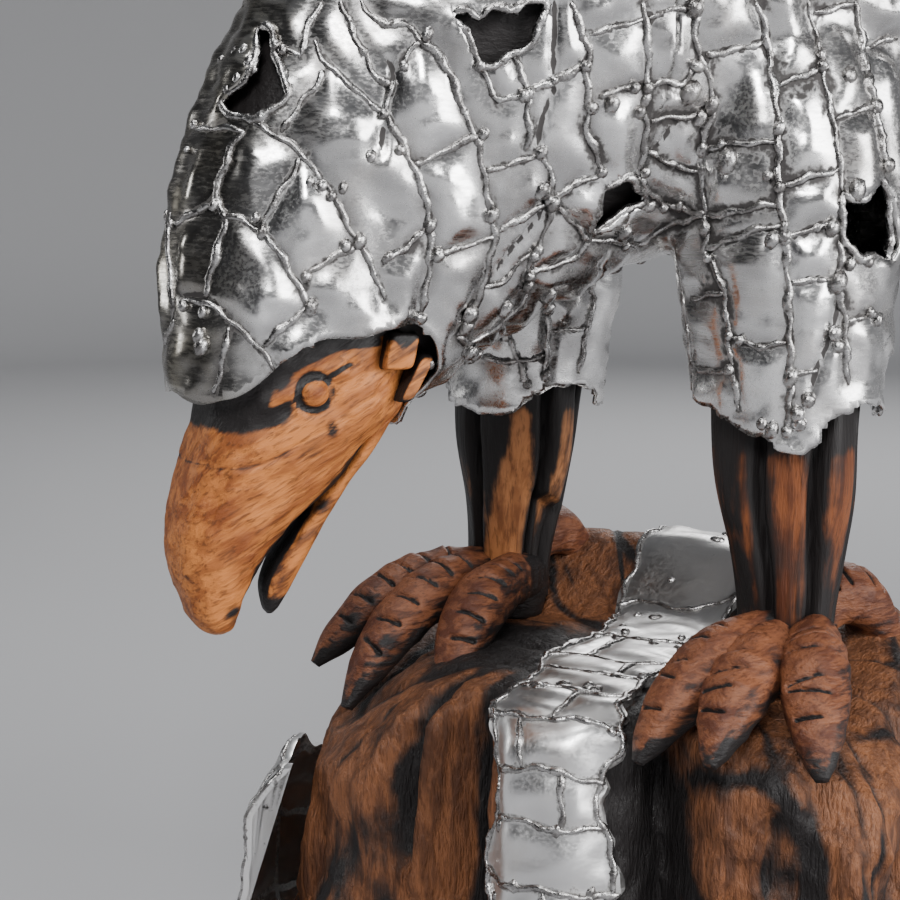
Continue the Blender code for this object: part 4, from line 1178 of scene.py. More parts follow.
head_f, head_s, head_u = np.moveaxis(head_grid, -1, 0)
outer_side = np.clip(np.abs(head_s) / 12, 0, 1)
cut = groove(head_f, head_u, CERE_FURROW, 1.3, 1.5) * outer_side
for lower in (3.5, 6.5):
    wrinkle = [(f, u - lower - 0.05 * (256 - f)) for f, u in CERE_FURROW[1:5]]
    cut += groove(head_f, head_u, wrinkle, 1.0, 0.5) * outer_side
eye_gap = np.hypot(head_f - EYE[0], head_u - EYE[2])
cut += outer_side * (2.4 * np.exp(-(((eye_gap - 8.0) / 1.6) ** 2)) + 1.4 * np.exp(-((eye_gap / 14) ** 2)))
cut += groove(head_f, head_u, BROW_TAIL, 1.5, 2.0) * outer_side
cut -= groove(head_f, head_u, BROW_RIDGE, 4.0, 2.6) * outer_side
cut += groove(head_f, head_u, [(212, 137), (226, 133), (240, 131)], 5, 1.3) * outer_side
cut += groove(head_f, head_u, [(240, 98), (222, 100), (206, 104), (196, 112)], 7, 0.8) * outer_side
head_places = place(head_grid).reshape(-1, 3)
facets = 0.45 * np.abs(waves(head_places, 0.022, 41)) + 0.25 * waves(head_places, 0.009, 42)
head_grid[..., 1] -= np.sign(head_s) * cut * 0.9
head_grid[..., 0] -= np.sin(head_around) * facets.reshape(cut.shape)
head_grid[..., 1] -= np.cos(head_around) * facets.reshape(cut.shape)
head = loft("head", [place(head_grid)])


def bell(*terms):
    """A soft spot: the exponential of minus the summed squares of (value - middle) / reach."""
    return np.exp(-sum(((value - middle) / reach) ** 2 for value, middle, reach in terms))


brow_up = np.interp(head_f, *np.array(BROW_RIDGE[::-1]).T)
ridge = np.exp(-(((head_u - brow_up - 1.5) / 4.2) ** 2)) * np.clip((222 - head_f) / 5, 0, 1)
head_char_and_shade = np.clip((head_u - 126 - 0.22 * np.clip(228 - head_f, 0, 40)) / 6, 0, 1)
head_char_and_shade = head_char_and_shade * np.clip((head_f - 204) / 9, 0, 1)
head_char_and_shade = np.maximum(head_char_and_shade,
                       np.clip((head_u - brow_up - 7.0) / 3, 0, 1) * np.clip((head_f - 163) / 6, 0, 1))
head_char_and_shade = np.maximum(head_char_and_shade, np.clip((head_u - 166) / 5, 0, 1)) * (1 - 0.9 * ridge)
head_char_and_shade = np.maximum(head_char_and_shade, 1.25 * bell((eye_gap, 7.6, 2.2)) * outer_side)
head_char_and_shade = np.maximum(head_char_and_shade, groove(head_f, head_u, BROW_TAIL, 1.5, 1.1) * outer_side)
head_char_and_shade = np.maximum(head_char_and_shade, 0.85 * bell((head_f, 191, 4), (head_u, 130, 4.5)))
head_char_and_shade = np.maximum(head_char_and_shade, 0.45 * bell((head_f, 200, 9), (head_u, 120, 11)))
# Painted shade in the cere furrow, over its char
head_char_and_shade = np.maximum(head_char_and_shade, 0.52 * groove(head_f, head_u, CERE_FURROW, 1.3, 1.0))
head_char_and_shade = np.maximum(head_char_and_shade, np.clip((152 - head_f) / 6, 0, 1))
head_char_and_shade = np.maximum(head_char_and_shade, 0.8 * bell((head_f, 232, 7), (head_u, 45, 7)))
head_char_and_shade = np.maximum(head_char_and_shade, 0.45 * bell((head_f, 252, 6), (head_u, 66, 12)))
# Painted shade: the head's rear, throat side darker low down
head_char_and_shade = np.maximum(head_char_and_shade,
                       np.clip(-np.sin(head_around) * 3.0 - 1.55, 0, 1) * np.clip((128 - head_u) / 10, 0, 1))
head_char_and_shade = np.append(head_char_and_shade.ravel(), [1.0, 0.6])
head_wood = wood_finish("head_wood", (0.50, 0.175, 0.045, 1), (0.19, 0.052, 0.013, 1), (1.0, 0.13, 1.0),
                        bump=0.7, turn=(math.radians(-31), 0, math.radians(15.6)), ragged=0.8, grain=0.85)
wooden(head, head_wood, head_char_and_shade)

# The lower beak.
# A second tongue of the same orange-brown block, parted from the upper beak by a saw cut, burnt and painted
# with shade inside it.
LOWER_BEAK = [
    (152, 134, 172, 124, 27), (161, 118, 181, 107, 23), (172, 102, 190, 95, 19), (182, 86, 200, 79, 16),
    (191, 69, 209, 66, 13.5), (199, 54, 214, 54, 10.5), (205, 44, 213, 43, 6.5),
    (208, 40, 211, 39.5, 3),
]
mandible_grid = sheet_grid(lambda spot, turn: profile_point(LOWER_BEAK, spot, turn, 0.0, 2.3),
                           np.linspace(0, len(LOWER_BEAK) - 1, 96), 56)
mandible_places = place(mandible_grid).reshape(-1, 3)
mandible_turn = np.linspace(0, 2 * math.pi, 56, endpoint=False)
mandible_cuts = 0.5 * np.abs(waves(mandible_places, 0.02, 43))
mandible_grid[..., 1] -= np.cos(mandible_turn) * mandible_cuts.reshape(mandible_grid.shape[:2])
mandible = loft("lower_beak", [place(mandible_grid)])
# The face towards the upper beak: char and painted shade in the cut
mandible_char_and_shade = np.clip(np.sin(mandible_turn) * 3.4 - 2.1, 0, 1) * np.ones(mandible_grid.shape[:2])
mandible_char_and_shade = np.maximum(mandible_char_and_shade, 0.75 * np.clip((50 - mandible_grid[..., 2]) / 7, 0, 1))
mandible_char_and_shade = np.maximum(mandible_char_and_shade,
                           bell((mandible_grid[..., 0], 190, 9), (mandible_grid[..., 2], 95, 11)) * 0.5)
# Darker towards its lower end
mandible_char_and_shade = mandible_char_and_shade + 0.42 * np.clip((98 - mandible_grid[..., 2]) / 18, 0, 1)
wooden(mandible, head_wood, np.append(mandible_char_and_shade.ravel(), [1, 0.5]))

# The eyes and the ear blocks.
# Wood of the head left standing when the ground round it was cut back: a round boss for each eye and two
# square blocks behind it, at the hood's edge.


def boss(sign, forward, side, up, radius_f, radius_u, proud, squareness, dome, lean):
    """A raised block on the head's side: level rings of a superellipse, drawn in over its top as a dome."""
    turn = np.linspace(0, 2 * math.pi, 40, endpoint=False)
    c, s = rounded(turn, squareness)
    share = np.concatenate([[1, 1], np.cos(np.linspace(0.1, 1.45, 9)) ** dome])
    reach = np.concatenate([[-9, 0], proud * np.sin(np.linspace(0.1, 1.45, 9))])
    return place(np.stack([forward + np.outer(share, radius_f * c + lean * radius_u * s),
                           sign * (side + reach)[:, None] * np.ones(40),
                           up + np.outer(share, radius_u * s)], -1))


BOSSES = [
    # forward, side, up, radius forward, radius up, how proud, squareness, dome, lean
    (EYE[0], EYE[1] - 2.5, EYE[2], 6.6, 6.4, 4.6, 2.1, 1.0, 0.0),
    (160, 37, 163, 7.4, 8.4, 7.5, 6.0, 0.12, -0.22), (151.5, 36, 150, 3.6, 10.5, 5.0, 4.5, 0.2, -0.55),
]
bosses = loft("eyes_and_ears", [boss(sign, *row) for sign in (1, -1) for row in BOSSES], 35)
boss_points = unplace(points_of(bosses.data))
boss_char = np.clip((boss_points[:, 2] - 168) / 3, 0, 0.9)
boss_char = boss_char + 0.6 * np.clip((41 - np.abs(boss_points[:, 1])) / 2, 0, 1)
wooden(bosses, head_wood, boss_char + 0.50 * (boss_points[:, 0] < 175))

# The legs.
# Staves left in the round of the log and split apart by the fire. The near leg is dark and oiled, the far
# leg has one broad stave rubbed back to pale wood. They stand in the feet and run up under the trouser legs.
LEG = [
    # forward, side, up, radius
    (0, 97, 6, 23), (0, 97, 32, 23), (0, 96, 62, 27), (0, 95, 95, 32.5), (0, 94, 128, 34.5),
    (0, 92, 165, 36), (0, 90, 215, 42), (0, 90, 260, 42),
]
LEG_RINGS, LEG_AROUND, LEG_END = 120, 112, 5.6
LEFT_ANKLE, RIGHT_ANKLE = 97, -103
STAVE_SPLITS = {1: (16, 67, 118, 205, 290), -1: (2, 78, 128, 190, 280)}
leg_woods = {
    "left": wood_finish("near_leg_wood", (0.18, 0.057, 0.020, 1), (0.07, 0.020, 0.008, 1), (1.0, 1.0, 0.06),
                        bump=0.7, ragged=0.5),
    "right": wood_finish("far_leg_wood", (0.47, 0.195, 0.075, 1), (0.12, 0.036, 0.012, 1), (1.0, 1.0, 0.06),
                         bump=0.7, ragged=0.5, grain=0.7),
}


def split_depth(turn, splits, width):
    """How deep the splits run: a narrow bell at each bearing."""
    found = np.zeros_like(turn)
    for bearing in splits:
        gap = (np.degrees(turn) - bearing + 180) % 360 - 180
        found = np.maximum(found, np.exp(-((gap / width) ** 2)))
    return found


def leg_object(side, sign):
    """A stave column: the leg's rings, cut in at each split, with chisel flats between them."""
    ankle = LEFT_ANKLE if sign > 0 else RIGHT_ANKLE
    stations = [(f, sign * s + (ankle - sign * LEFT_ANKLE) * max(0, 1 - u / 128), u, r) for f, s, u, r in LEG]
    turn = np.linspace(0, 2 * math.pi, LEG_AROUND, endpoint=False)
    spot, turn = np.meshgrid(np.linspace(0, LEG_END, LEG_RINGS), turn, indexing="ij")
    wander = turn + 0.05 * np.sin(spot * 2.3 + sign)
    depth = split_depth(wander, STAVE_SPLITS[sign], 5.5)
    grid = column_point(stations, spot, turn)
    middle = smooth_at(stations, spot)
    flats = 0.05 * np.abs(np.sin(1.5 * turn + sign)) + 0.03 * np.sin(spot * 2 + 3 * turn)
    keep = (1 - 0.30 * depth) * (1.03 - flats)
    if sign < 0:
        broken_off = np.clip((66 - middle[..., 2] - 0.25 * (np.degrees(turn) - 100)) / 5, 0, 1)
        keep = keep - 0.30 * broken_off * bell((np.degrees(turn), 103, 24))
    grid[..., 0] = middle[..., 0] + (grid[..., 0] - middle[..., 0]) * keep
    grid[..., 1] = middle[..., 1] + (grid[..., 1] - middle[..., 1]) * keep
    made = loft(f"{side}_leg", [stand(grid)])
    up = grid[..., 2]
    bearing = np.degrees(turn)
    # Scorched in the splits and at the foot, painted shade under the hem and at the foot, and rubbed back to
    # wood in long soft spots
    char_and_shade = 0.9 * depth + np.clip((up - 112) / 18, 0, 1) + np.clip((34 - up) / 16, 0, 1)
    if sign > 0:
        char_and_shade = char_and_shade + 0.72 - 0.44 * bell((bearing, 42, 17), (up, 80, 42))
        char_and_shade = char_and_shade - 0.42 * bell((bearing, 36, 9), (up, 46, 12))
        char_and_shade = char_and_shade - 0.52 * bell((bearing, 94, 15), (up, 98, 38))
        char_and_shade = char_and_shade - 0.32 * bell((bearing, 3, 6), (up, 75, 50))
    else:
        low_share = np.clip((95 - up) / 70, 0, 1)
        char_and_shade = char_and_shade + 0.82 - 1.3 * bell((bearing, 52 - 16 * low_share, 10 + 14 * low_share), (up, 66, 48))
        char_and_shade = char_and_shade - 0.30 * bell((bearing, 103, 15))
    return made, np.append(np.clip(char_and_shade, 0, 1).ravel(), [1, 1])


for side, sign in (("left", 1), ("right", -1)):
    leg, leg_char_and_shade = leg_object(side, sign)
    wooden(leg, leg_woods[side], leg_char_and_shade)

# The feet.
# A hub at each ankle and four carved wooden toes that grip the block. Each toe has a roofed back with a row
# of short saw slits across it, and a scorched talon.
TOES = [
    # ankle, bearing, length, how far the tip hangs under the sole, arch, and the root's own shift
    (LEFT_ANKLE, 0, 100, 20, 2, (0, 2, 9)), (LEFT_ANKLE, 22, 101, 14, 2, (0, 0, 4)),
    (LEFT_ANKLE, 50, 99, 17, 2, (-8, 9, 8)), (LEFT_ANKLE, 172, 72, 2, 22, (0, 0, 0)),
    (RIGHT_ANKLE, -12, 117, 18, 4, (0, 0, 5)), (RIGHT_ANKLE, 4, 119, 34, 4, (0, 0, 3)),
    (RIGHT_ANKLE, 30, 101, 23, 3, (-9, 11, 3)), (RIGHT_ANKLE, -172, 72, 2, 22, (0, 0, 0)),
]
FOOT_HUB, HUB_RINGS, HUB_AROUND = [(-3, 19), (11, 22), (23, 21), (33, 14)], 24, 48      # up, radius
TOE_SECTIONS = [
    # share of the length, half width, half height
    (0.06, 10.5, 12), (0.26, 13, 14.5), (0.46, 15.5, 15.5), (0.64, 16, 14.5), (0.80, 13.5, 11.5),
    (0.92, 9, 7.5), (1.0, 3.2, 3),
]
TOE_MIDDLE, TOE_RIDGE, TOE_RINGS, TOE_AROUND = 16, -0.15, 172, 40
SLIT_SHARES, SLIT_WIDTH, SLIT_DEPTH = (0.34, 0.44, 0.54, 0.64, 0.74, 0.83), 0.80, 3.0
toe_wood = wood_finish("toe_wood", (0.19, 0.072, 0.033, 1), (0.060, 0.019, 0.010, 1), (0.8, 0.35, 1.4),
                       red=0.10, bump=0.8)


def toe_grid(ankle, bearing, length, drop_down, arch, root, seed):
    """Rings along a toe that runs level, then curves down: a boxy superellipse with a lopsided roof on top.

    Narrow bells along the toe cut the slits into the roof's outer slope.
    """
    way = math.radians(bearing)
    rows = smooth_at(TOE_SECTIONS, np.linspace(0, len(TOE_SECTIONS) - 1, TOE_RINGS))
    share = rows[:, 0]
    up = TOE_MIDDLE + (4 + arch) * np.sin(math.pi * share) - (TOE_MIDDLE + drop_down) * share**3
    reach = share * length
    path = np.stack([reach * math.cos(way), ankle + reach * math.sin(way), up], 1)
    path = path + np.outer((1 - share) ** 1.5, root)
    along = np.gradient(path, axis=0)
    along /= np.linalg.norm(along, axis=1)[:, None]
    level = np.cross(along, (0, 0, 1.0))
    level /= np.linalg.norm(level, axis=1)[:, None]
    through = np.cross(level, along)
    turn = np.linspace(0, 2 * math.pi, TOE_AROUND, endpoint=False)
    c, s = rounded(turn, 3.2)
    draw = np.random.default_rng(seed)
    slit = np.zeros((TOE_RINGS, TOE_AROUND))
    cut_side = c if ankle > 0 else -c
    for at in SLIT_SHARES:
        spot = at + draw.uniform(-0.012, 0.012) + (0.03 * c + 0.01) * draw.uniform(-1, 1)
        over_top = np.clip((cut_side + draw.uniform(0.15, 0.45)) / 0.12, 0, 1)
        over_top = over_top * np.clip((s - 0.15) / 0.3, 0, 1) * np.clip((0.9 - cut_side) / 0.1, 0, 1)
        slit = np.maximum(slit, np.exp(-(((share[:, None] - spot) * length / SLIT_WIDTH) ** 2)) * over_top)
    roof = np.where(s > 0, 1 - 0.36 * np.abs(c - TOE_RIDGE), 1.0)
    roof = roof * (1 - 0.10 * np.abs(waves(stand(path), 0.03, 80 + seed, 3))[:, None])
    chips = 0.5 * np.abs(waves(stand(path) + 0.3 * seed, 0.02, 90 + seed, 3))[:, None] * (np.abs(c) > 0.5)
    points = (path[:, None] + (c * (rows[:, 1:2] - chips))[..., None] * level[:, None]
              + (s * roof * rows[:, 2:3] - SLIT_DEPTH * slit)[..., None] * through[:, None])
    dark_side = np.clip((-c - 0.45) / 0.2, 0, 1)[None] * np.ones((TOE_RINGS, 1))
    return points, slit, share, dark_side


for side, toe_set in (("left", TOES[:4]), ("right", TOES[4:])):
    toe_grids, toe_chars_and_shade = [], []
    for seed, toe in enumerate(toe_set):
        points, slit, share, dark_side = toe_grid(*toe, seed + (50 if side == "left" else 60))
        toe_grids.append(stand(points))
        low = np.clip((points[..., 2].min(1, keepdims=True) + 11 - points[..., 2]) / 8, 0, 1)
        # Char in the slits, and painted shade at the root where the toe meets the ankle
        char_and_shade = 1.15 * slit + 0.9 * np.clip((0.26 - share[:, None]) / 0.14, 0, 1)
        char_and_shade = char_and_shade + 0.4 * low + 0.42 * dark_side + 0.35 * np.clip((share[:, None] - 0.9) / 0.1, 0, 1)
        toe_chars_and_shade.append(np.append(char_and_shade.ravel(), [1, 0.6]))
    stations = [(0, toe_set[0][0], up, radius) for up, radius in FOOT_HUB]
    toe_grids.append(sheet_grid(lambda spot, turn: stand(column_point(stations, spot, turn)),
                                np.linspace(0, len(FOOT_HUB) - 1, HUB_RINGS), HUB_AROUND))
    # The hub: painted shade in the gap under the leg
    toe_chars_and_shade.append(np.ones(HUB_RINGS * HUB_AROUND + 2) * 0.9)
    toes = loft(f"{side}_toes", toe_grids)
    wooden(toes, toe_wood, np.clip(np.concatenate(toe_chars_and_shade), 0, 1))

# The tail.
# Five long feathers in a fan, carved thin from the same wood, scored with barbs and scorched between. Its
# root runs under the rear hem of the coat.
TAIL_ROOT, TAIL_LENGTH, TAIL_HALF_WIDTHS, TAIL_DROP = (-205, 327), 225, (28, 80), 76
TAIL_FEATHERS, TAIL_HALF_THICKS, TAIL_NOTCH = 5, (13, 4), 0.10
tail_wood = wood_finish("tail_wood", (0.34, 0.12, 0.036, 1), (0.13, 0.036, 0.012, 1), (1.0, 0.10, 1.0),
                        bump=0.6)


def tail_point(reach, across, top):
    """The fan: length and thickness rise to a crest along each feather and fall to a notch between two."""
    wave = 0.5 + 0.5 * np.cos(across * math.pi * TAIL_FEATHERS + math.pi * (TAIL_FEATHERS % 2 == 0))
    crest = wave**0.6
    length = reach * TAIL_LENGTH * (1 - TAIL_NOTCH * across**2) * (1 - TAIL_NOTCH * reach**4 * (1 - crest))
    half_wide = TAIL_HALF_WIDTHS[0] + (TAIL_HALF_WIDTHS[1] - TAIL_HALF_WIDTHS[0]) * reach
    thick = TAIL_HALF_THICKS[0] + (TAIL_HALF_THICKS[1] - TAIL_HALF_THICKS[0]) * reach
    thick = thick * (0.65 + 0.35 * crest) * (1 - 0.3 * across**2)
    shaft = 1.3 * np.exp(-(((1 - crest) / 0.03) ** 2))
    from_shaft = np.abs((across * TAIL_FEATHERS / 2 + 0.5) % 1 - 0.5)
    barb = 0.45 * np.sin(reach * 150 - 3.0 * from_shaft * 14) * np.clip(reach * 4 - 0.6, 0, 1)
    middle = TAIL_ROOT[1] - TAIL_DROP * reach**1.2 - 8 * across**2
    return np.stack([TAIL_ROOT[0] - length, across * half_wide, middle
                     + top * (thick + shaft * 0.8 + barb - 0.3)], -1), crest


tail_reach, tail_across = np.meshgrid(np.linspace(0, 1, 126), np.linspace(-1, 1, 85), indexing="ij")
tail_top, tail_crest = tail_point(tail_reach, tail_across, 1)
tail_under, _ = tail_point(tail_reach, tail_across, -1)
tail = loft("tail", [place(np.concatenate([tail_top, tail_under[:, ::-1]], 1))], 60)
# Scorched between the feathers and at the tips; painted shade at the root under the rear hem
tail_char_and_shade = 0.75 * np.clip(0.35 - tail_crest, 0, 0.35) / 0.35 + 0.8 * np.clip((0.3 - tail_reach) / 0.2, 0, 1)
tail_char_and_shade = tail_char_and_shade + 0.45 * np.clip((tail_reach - 0.9) / 0.1, 0, 1)
tail_char_and_shade = np.concatenate([tail_char_and_shade, tail_char_and_shade[:, ::-1]], 1)
wooden(tail, tail_wood, np.append(np.clip(tail_char_and_shade, 0, 1).ravel(), [1, 0.5]))

# The stump.
# An old root block of weathered brown wood, its top levelled for the feet, its lobes gouged upright and
# hollows burnt out of its front, deepened with painted shade. It stands on its sawn underside and carries
# everything else.
SHOULDER = [
    (-180, 0.143), (-140, 0.152), (-100, 0.165), (-60, 0.172), (-40, 0.170), (-20, 0.160), (-10, 0.138),
    (0, 0.098), (10, 0.120), (20, 0.136), (30, 0.136), (40, 0.126), (50, 0.106), (60, 0.150),
    (70, 0.172), (80, 0.180), (100, 0.170), (130, 0.155), (160, 0.146),
]
STUMP_PROFILE = [
    (0.0, 0.0, 0.0), (0.35, 0.0, 0.0), (0.66, 0.005, 0.15), (0.86, 0.03, 0.5), (0.96, 0.09, 0.8),
    (1.0, 0.19, 1.0), (1.01, 0.38, 1.0), (1.04, 0.60, 1.0), (1.07, 0.82, 0.85), (1.10, 1.0, 0.7),
]
STUMP_RADIUS = 0.150
BACK_RISE, RISE_FROM, RISE_OVER, RISE_WIDENING, RISE_TILT = 0.034, 0.040, 0.060, 0.35, -2.0
TOP_DISH = 0.001
SHOULDER_FALL, FALL_BEARING, FALL_SPREAD, FALL_FLARE = 0.034, -38, 26, 0.07


def stump_point(spot, bearing, carve):
    """The block's skin: a profile by the share of the radius and of the way down, its lobes by bearing.

    Where it is asked for, the carving takes its depth off towards the middle.
    """
    share, down, shown = np.moveaxis(smooth_at(STUMP_PROFILE, spot), -1, 0)
    share, down, shown = np.maximum(share, 0.003), np.clip(down, 0, 1), np.clip(shown, 0, 1)
    turn = np.radians(bearing)
    near_fall = np.exp(-(((bearing - FALL_BEARING) / FALL_SPREAD) ** 2))
    radius = share * (STUMP_RADIUS + (bearing_curve(SHOULDER, bearing) - STUMP_RADIUS) * shown)
    radius = radius * (1 + FALL_FLARE * near_fall * down)
    x, y = radius * np.sin(turn), -radius * np.cos(turn)
    ease = np.clip((y + RISE_WIDENING * np.abs(x) - RISE_FROM) / RISE_OVER, 0, 1)
    rise = BACK_RISE * (1 + RISE_TILT * x) * ease * ease * (3 - 2 * ease)
    fall = SHOULDER_FALL * near_fall * np.clip((share - 0.55) / 0.4, 0, 1) ** 1.5
    points = np.stack([x, y, (STUMP_HEIGHT - TOP_DISH + rise - fall) * (1 - down)], -1)
    if carve:
        off = carving(points, bearing, share)
        shrink = (radius - off * np.clip(share * 1.6 - 0.75, 0, 1)) / radius
        points[..., 0] *= shrink
        points[..., 1] *= shrink
        points[..., 2] -= off * 0.6 * np.clip(1.3 - share * 1.2, 0, 1) * (down < 0.5)
    return points


def valleys(flat):
    """Soft hollows along the lines where an uneven field crosses nought, 0 to 1."""
    return np.clip(1 - np.abs(waves(flat * np.array([1, 1, 0.6]), 0.085, 66)) * 1.6, 0, 1) ** 2


def carving(points, bearing, share):
    """Upright gouge flats on the right lobe, knots and cracks on the left one, a fine roughness all over."""
    flat = points.reshape(-1, 3)
    gnarl = (0.0042 * waves(flat, 0.065, 61) + 0.0034 * np.abs(waves(flat, 0.034, 62))
             + 0.0008 * np.abs(waves(flat, 0.012, 63))).reshape(bearing.shape)
    valley = valleys(flat).reshape(bearing.shape)
    stretched = flat * np.array([1, 1, 0.22])
    planks = (0.0026 * np.abs(waves(stretched, 0.036, 64))
              + 0.0011 * np.abs(waves(stretched, 0.015, 65))).reshape(bearing.shape)
    lobe = np.clip((bearing - 35) / 25, 0, 1) * np.clip((170 - bearing) / 30, 0, 1)
    off = planks * (1 - 0.5 * lobe) + gnarl * (0.45 + 0.75 * lobe) + 0.0055 * valley
    turned = bearing + 60 * (points[..., 2] - 0.1) * np.sin(np.radians(bearing) * 3)
    crack = np.zeros_like(bearing)
    for at, strength in CRACKS:
        crack = np.maximum(crack, strength * np.exp(-(((turned - at) / 0.75) ** 2)))
    off = off + 0.005 * crack * np.clip((share - 0.5) / 0.3, 0, 1)
    for at, height, wide, tall, depth, _ in SCOOPS:
        off = off + depth * np.exp(-(((bearing - at) / wide) ** 4) - ((points[..., 2] - height) / tall) ** 4)
    return off


SCOOPS = [
    # bearing, height, half width in degrees, half height, depth, char and painted shade
    (-12.5, 0.160, 2.8, 0.045, 0.017, 0.9), (-6.2, 0.150, 2.6, 0.050, 0.002, -0.35),
    (-21, 0.150, 3.4, 0.040, 0.006, 0.45), (-30, 0.080, 6.0, 0.045, 0.006, 0.35),
    (-14, 0.060, 2.2, 0.040, 0.007, 0.7), (70, 0.150, 5.0, 0.030, 0.012, 0.5),
    (86, 0.110, 6.0, 0.035, 0.013, 0.55), (60, 0.060, 4.0, 0.050, 0.010, 0.6),
]
CRACKS = [
    (-52, 0.8), (-30, 1.0), (-18, 0.6), (66, 0.8), (78, 1.0), (88, 0.7), (99, 0.9), (118, 0.8),
    (140, 1.0), (168, 0.8), (-80, 0.9), (-108, 0.7), (-131, 1.0), (-155, 0.8),
]
STUMP_AROUND = 324
stump_spots = np.concatenate([np.linspace(0, 3, 42)[:-1], np.linspace(3, len(STUMP_PROFILE) - 1, 112)])
stump_bearings = np.linspace(-180, 180, STUMP_AROUND, endpoint=False)
stump_spot, stump_bearing = np.meshgrid(stump_spots, stump_bearings, indexing="ij")
stump_grid = stump_point(stump_spot, stump_bearing, True)
stump = loft("stump_wood", [stump_grid])
height_up = stump_grid[..., 2]
# The front hollows and the scoops: char and painted shade
stump_char_and_shade = 1.3 * np.exp(-(((stump_bearing - 2.0) / 5.5) ** 4)) * bell((height_up, 0.10, 0.12))
stump_char_and_shade = stump_char_and_shade + 1.2 * bell((stump_bearing, 45, 10), (height_up, 0.08, 0.14))
for at, height, wide, tall, _, burnt_and_shaded in SCOOPS:
    stump_char_and_shade = stump_char_and_shade + burnt_and_shaded * np.exp(-(((stump_bearing - at) / wide / 0.85) ** 4)
                                             - ((height_up - height) / tall) ** 4)
stump_char_and_shade = stump_char_and_shade + 1.0 * bell((stump_grid[..., 0], -0.035, 0.055),
                                     (stump_grid[..., 1], -0.045, 0.050), (height_up, 0.21, 0.03))
stump_valley = valleys(stump_grid.reshape(-1, 3)).reshape(height_up.shape)
stump_char_and_shade = stump_char_and_shade + 0.10 + 0.62 * stump_valley * (1 - 0.75 * bell((stump_bearing, -8, 7)))
stump_char_and_shade = stump_char_and_shade + 0.5 * bell((stump_bearing, 180, 50)) + 0.5 * bell((stump_bearing, -180, 50))
turned_bearing = stump_bearing + 60 * (height_up - 0.1) * np.sin(np.radians(stump_bearing) * 3)
for at, strength in CRACKS:
    stump_char_and_shade = np.maximum(stump_char_and_shade, 0.8 * strength * np.exp(-(((turned_bearing - at) / 1.0) ** 2)))
stump_wood = wood_finish("stump_wood", (0.205, 0.080, 0.034, 1), (0.065, 0.025, 0.012, 1), (1.0, 1.0, 0.22),
                         bump=0.9, distance=0.0012, ragged=0.2, grain=0.8)
tag(stump, "char_and_shade", np.append(np.clip(stump_char_and_shade, 0, 1).ravel(), [0.7, 0.5]))
stump.data.materials.append(stump_wood)
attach(stump, "root")
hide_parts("stump")

# The strip.
# A band of welded aluminium scraps let into the stump, which runs from behind over its top, between the feet,
# and down its front. Its edges are ragged, and a bead follows each of them.
STRIP_WIDTH, STRIP_THICKNESS, STRIP_SINK = 0.060, 0.005, 0.0028
STRIP_ROWS, STRIP_COLUMNS, STRIP_DROPS = 150, 27, 40
STRIP_FIRST_SCRAPS, STRIP_SCRAP = [0.10, 0.09, 0.055, 0.045], 0.028      # lengths of the scraps, from behind
STRIP_BEAD_HALF_WIDTH, STRIP_BEAD_HEIGHT = 0.0016, 0.0013
STRIP_HEADING, STRIP_WAVE, STRIP_WAVE_RATE, STRIP_MIDDLE_SIDE = math.radians(25), 0.12, 1.7, 0.001
STRIP_ROUTE = [
    # metres along the heading, metres below the soles, pitch in degrees
    (-0.085, 0.080, 172), (-0.085, 0.050, 150), (-0.070, 0.045, 118), (-0.035, 0.045, 95),
    (0.010, 0.045, 90), (0.050, 0.045, 84), (0.066, 0.048, 62), (0.068, 0.052, 36), (0.068, 0.062, 14),
    (0.068, 0.085, 3), (0.068, 0.115, 0), (0.068, 0.150, 0), (0.068, 0.190, 0),
]
BARE_RINGS, BARE_AROUND = 90, 180
bare_spots = np.linspace(0, len(STUMP_PROFILE) - 1, BARE_RINGS)
bare_bearings = np.linspace(-180, 180, BARE_AROUND, endpoint=False)
bare_spot, bare_bearing = np.meshgrid(bare_spots, bare_bearings, indexing="ij")
bare_flat, bare_faces = loft_faces(stump_point(bare_spot, bare_bearing, False))
bare_tree = BVHTree.FromPolygons(bare_flat.tolist(), bare_faces.tolist())


def strip_point(spot, share):
    """A place on the strip: aimed at the bare block from the route, moved across by a share of its width."""
    along, down, pitch = smooth_at(STRIP_ROUTE, spot * (len(STRIP_ROUTE) - 1))
    heading = Vector((math.sin(STRIP_HEADING), -math.cos(STRIP_HEADING), 0))
    across = Vector((math.cos(STRIP_HEADING), math.sin(STRIP_HEADING), 0))
    facing = heading * math.cos(math.radians(pitch)) + Vector((0, 0, math.sin(math.radians(pitch))))
    half = STRIP_WIDTH / 2 * (1 + STRIP_WAVE * math.sin(STRIP_WAVE_RATE * spot * 21))
    aim = heading * along + across * (STRIP_MIDDLE_SIDE + share * half) + Vector((0, 0, STUMP_HEIGHT - down))
    hit = bare_tree.ray_cast(aim + facing * 2 * STUMP_RADIUS, -facing)[0]
    return hit, facing


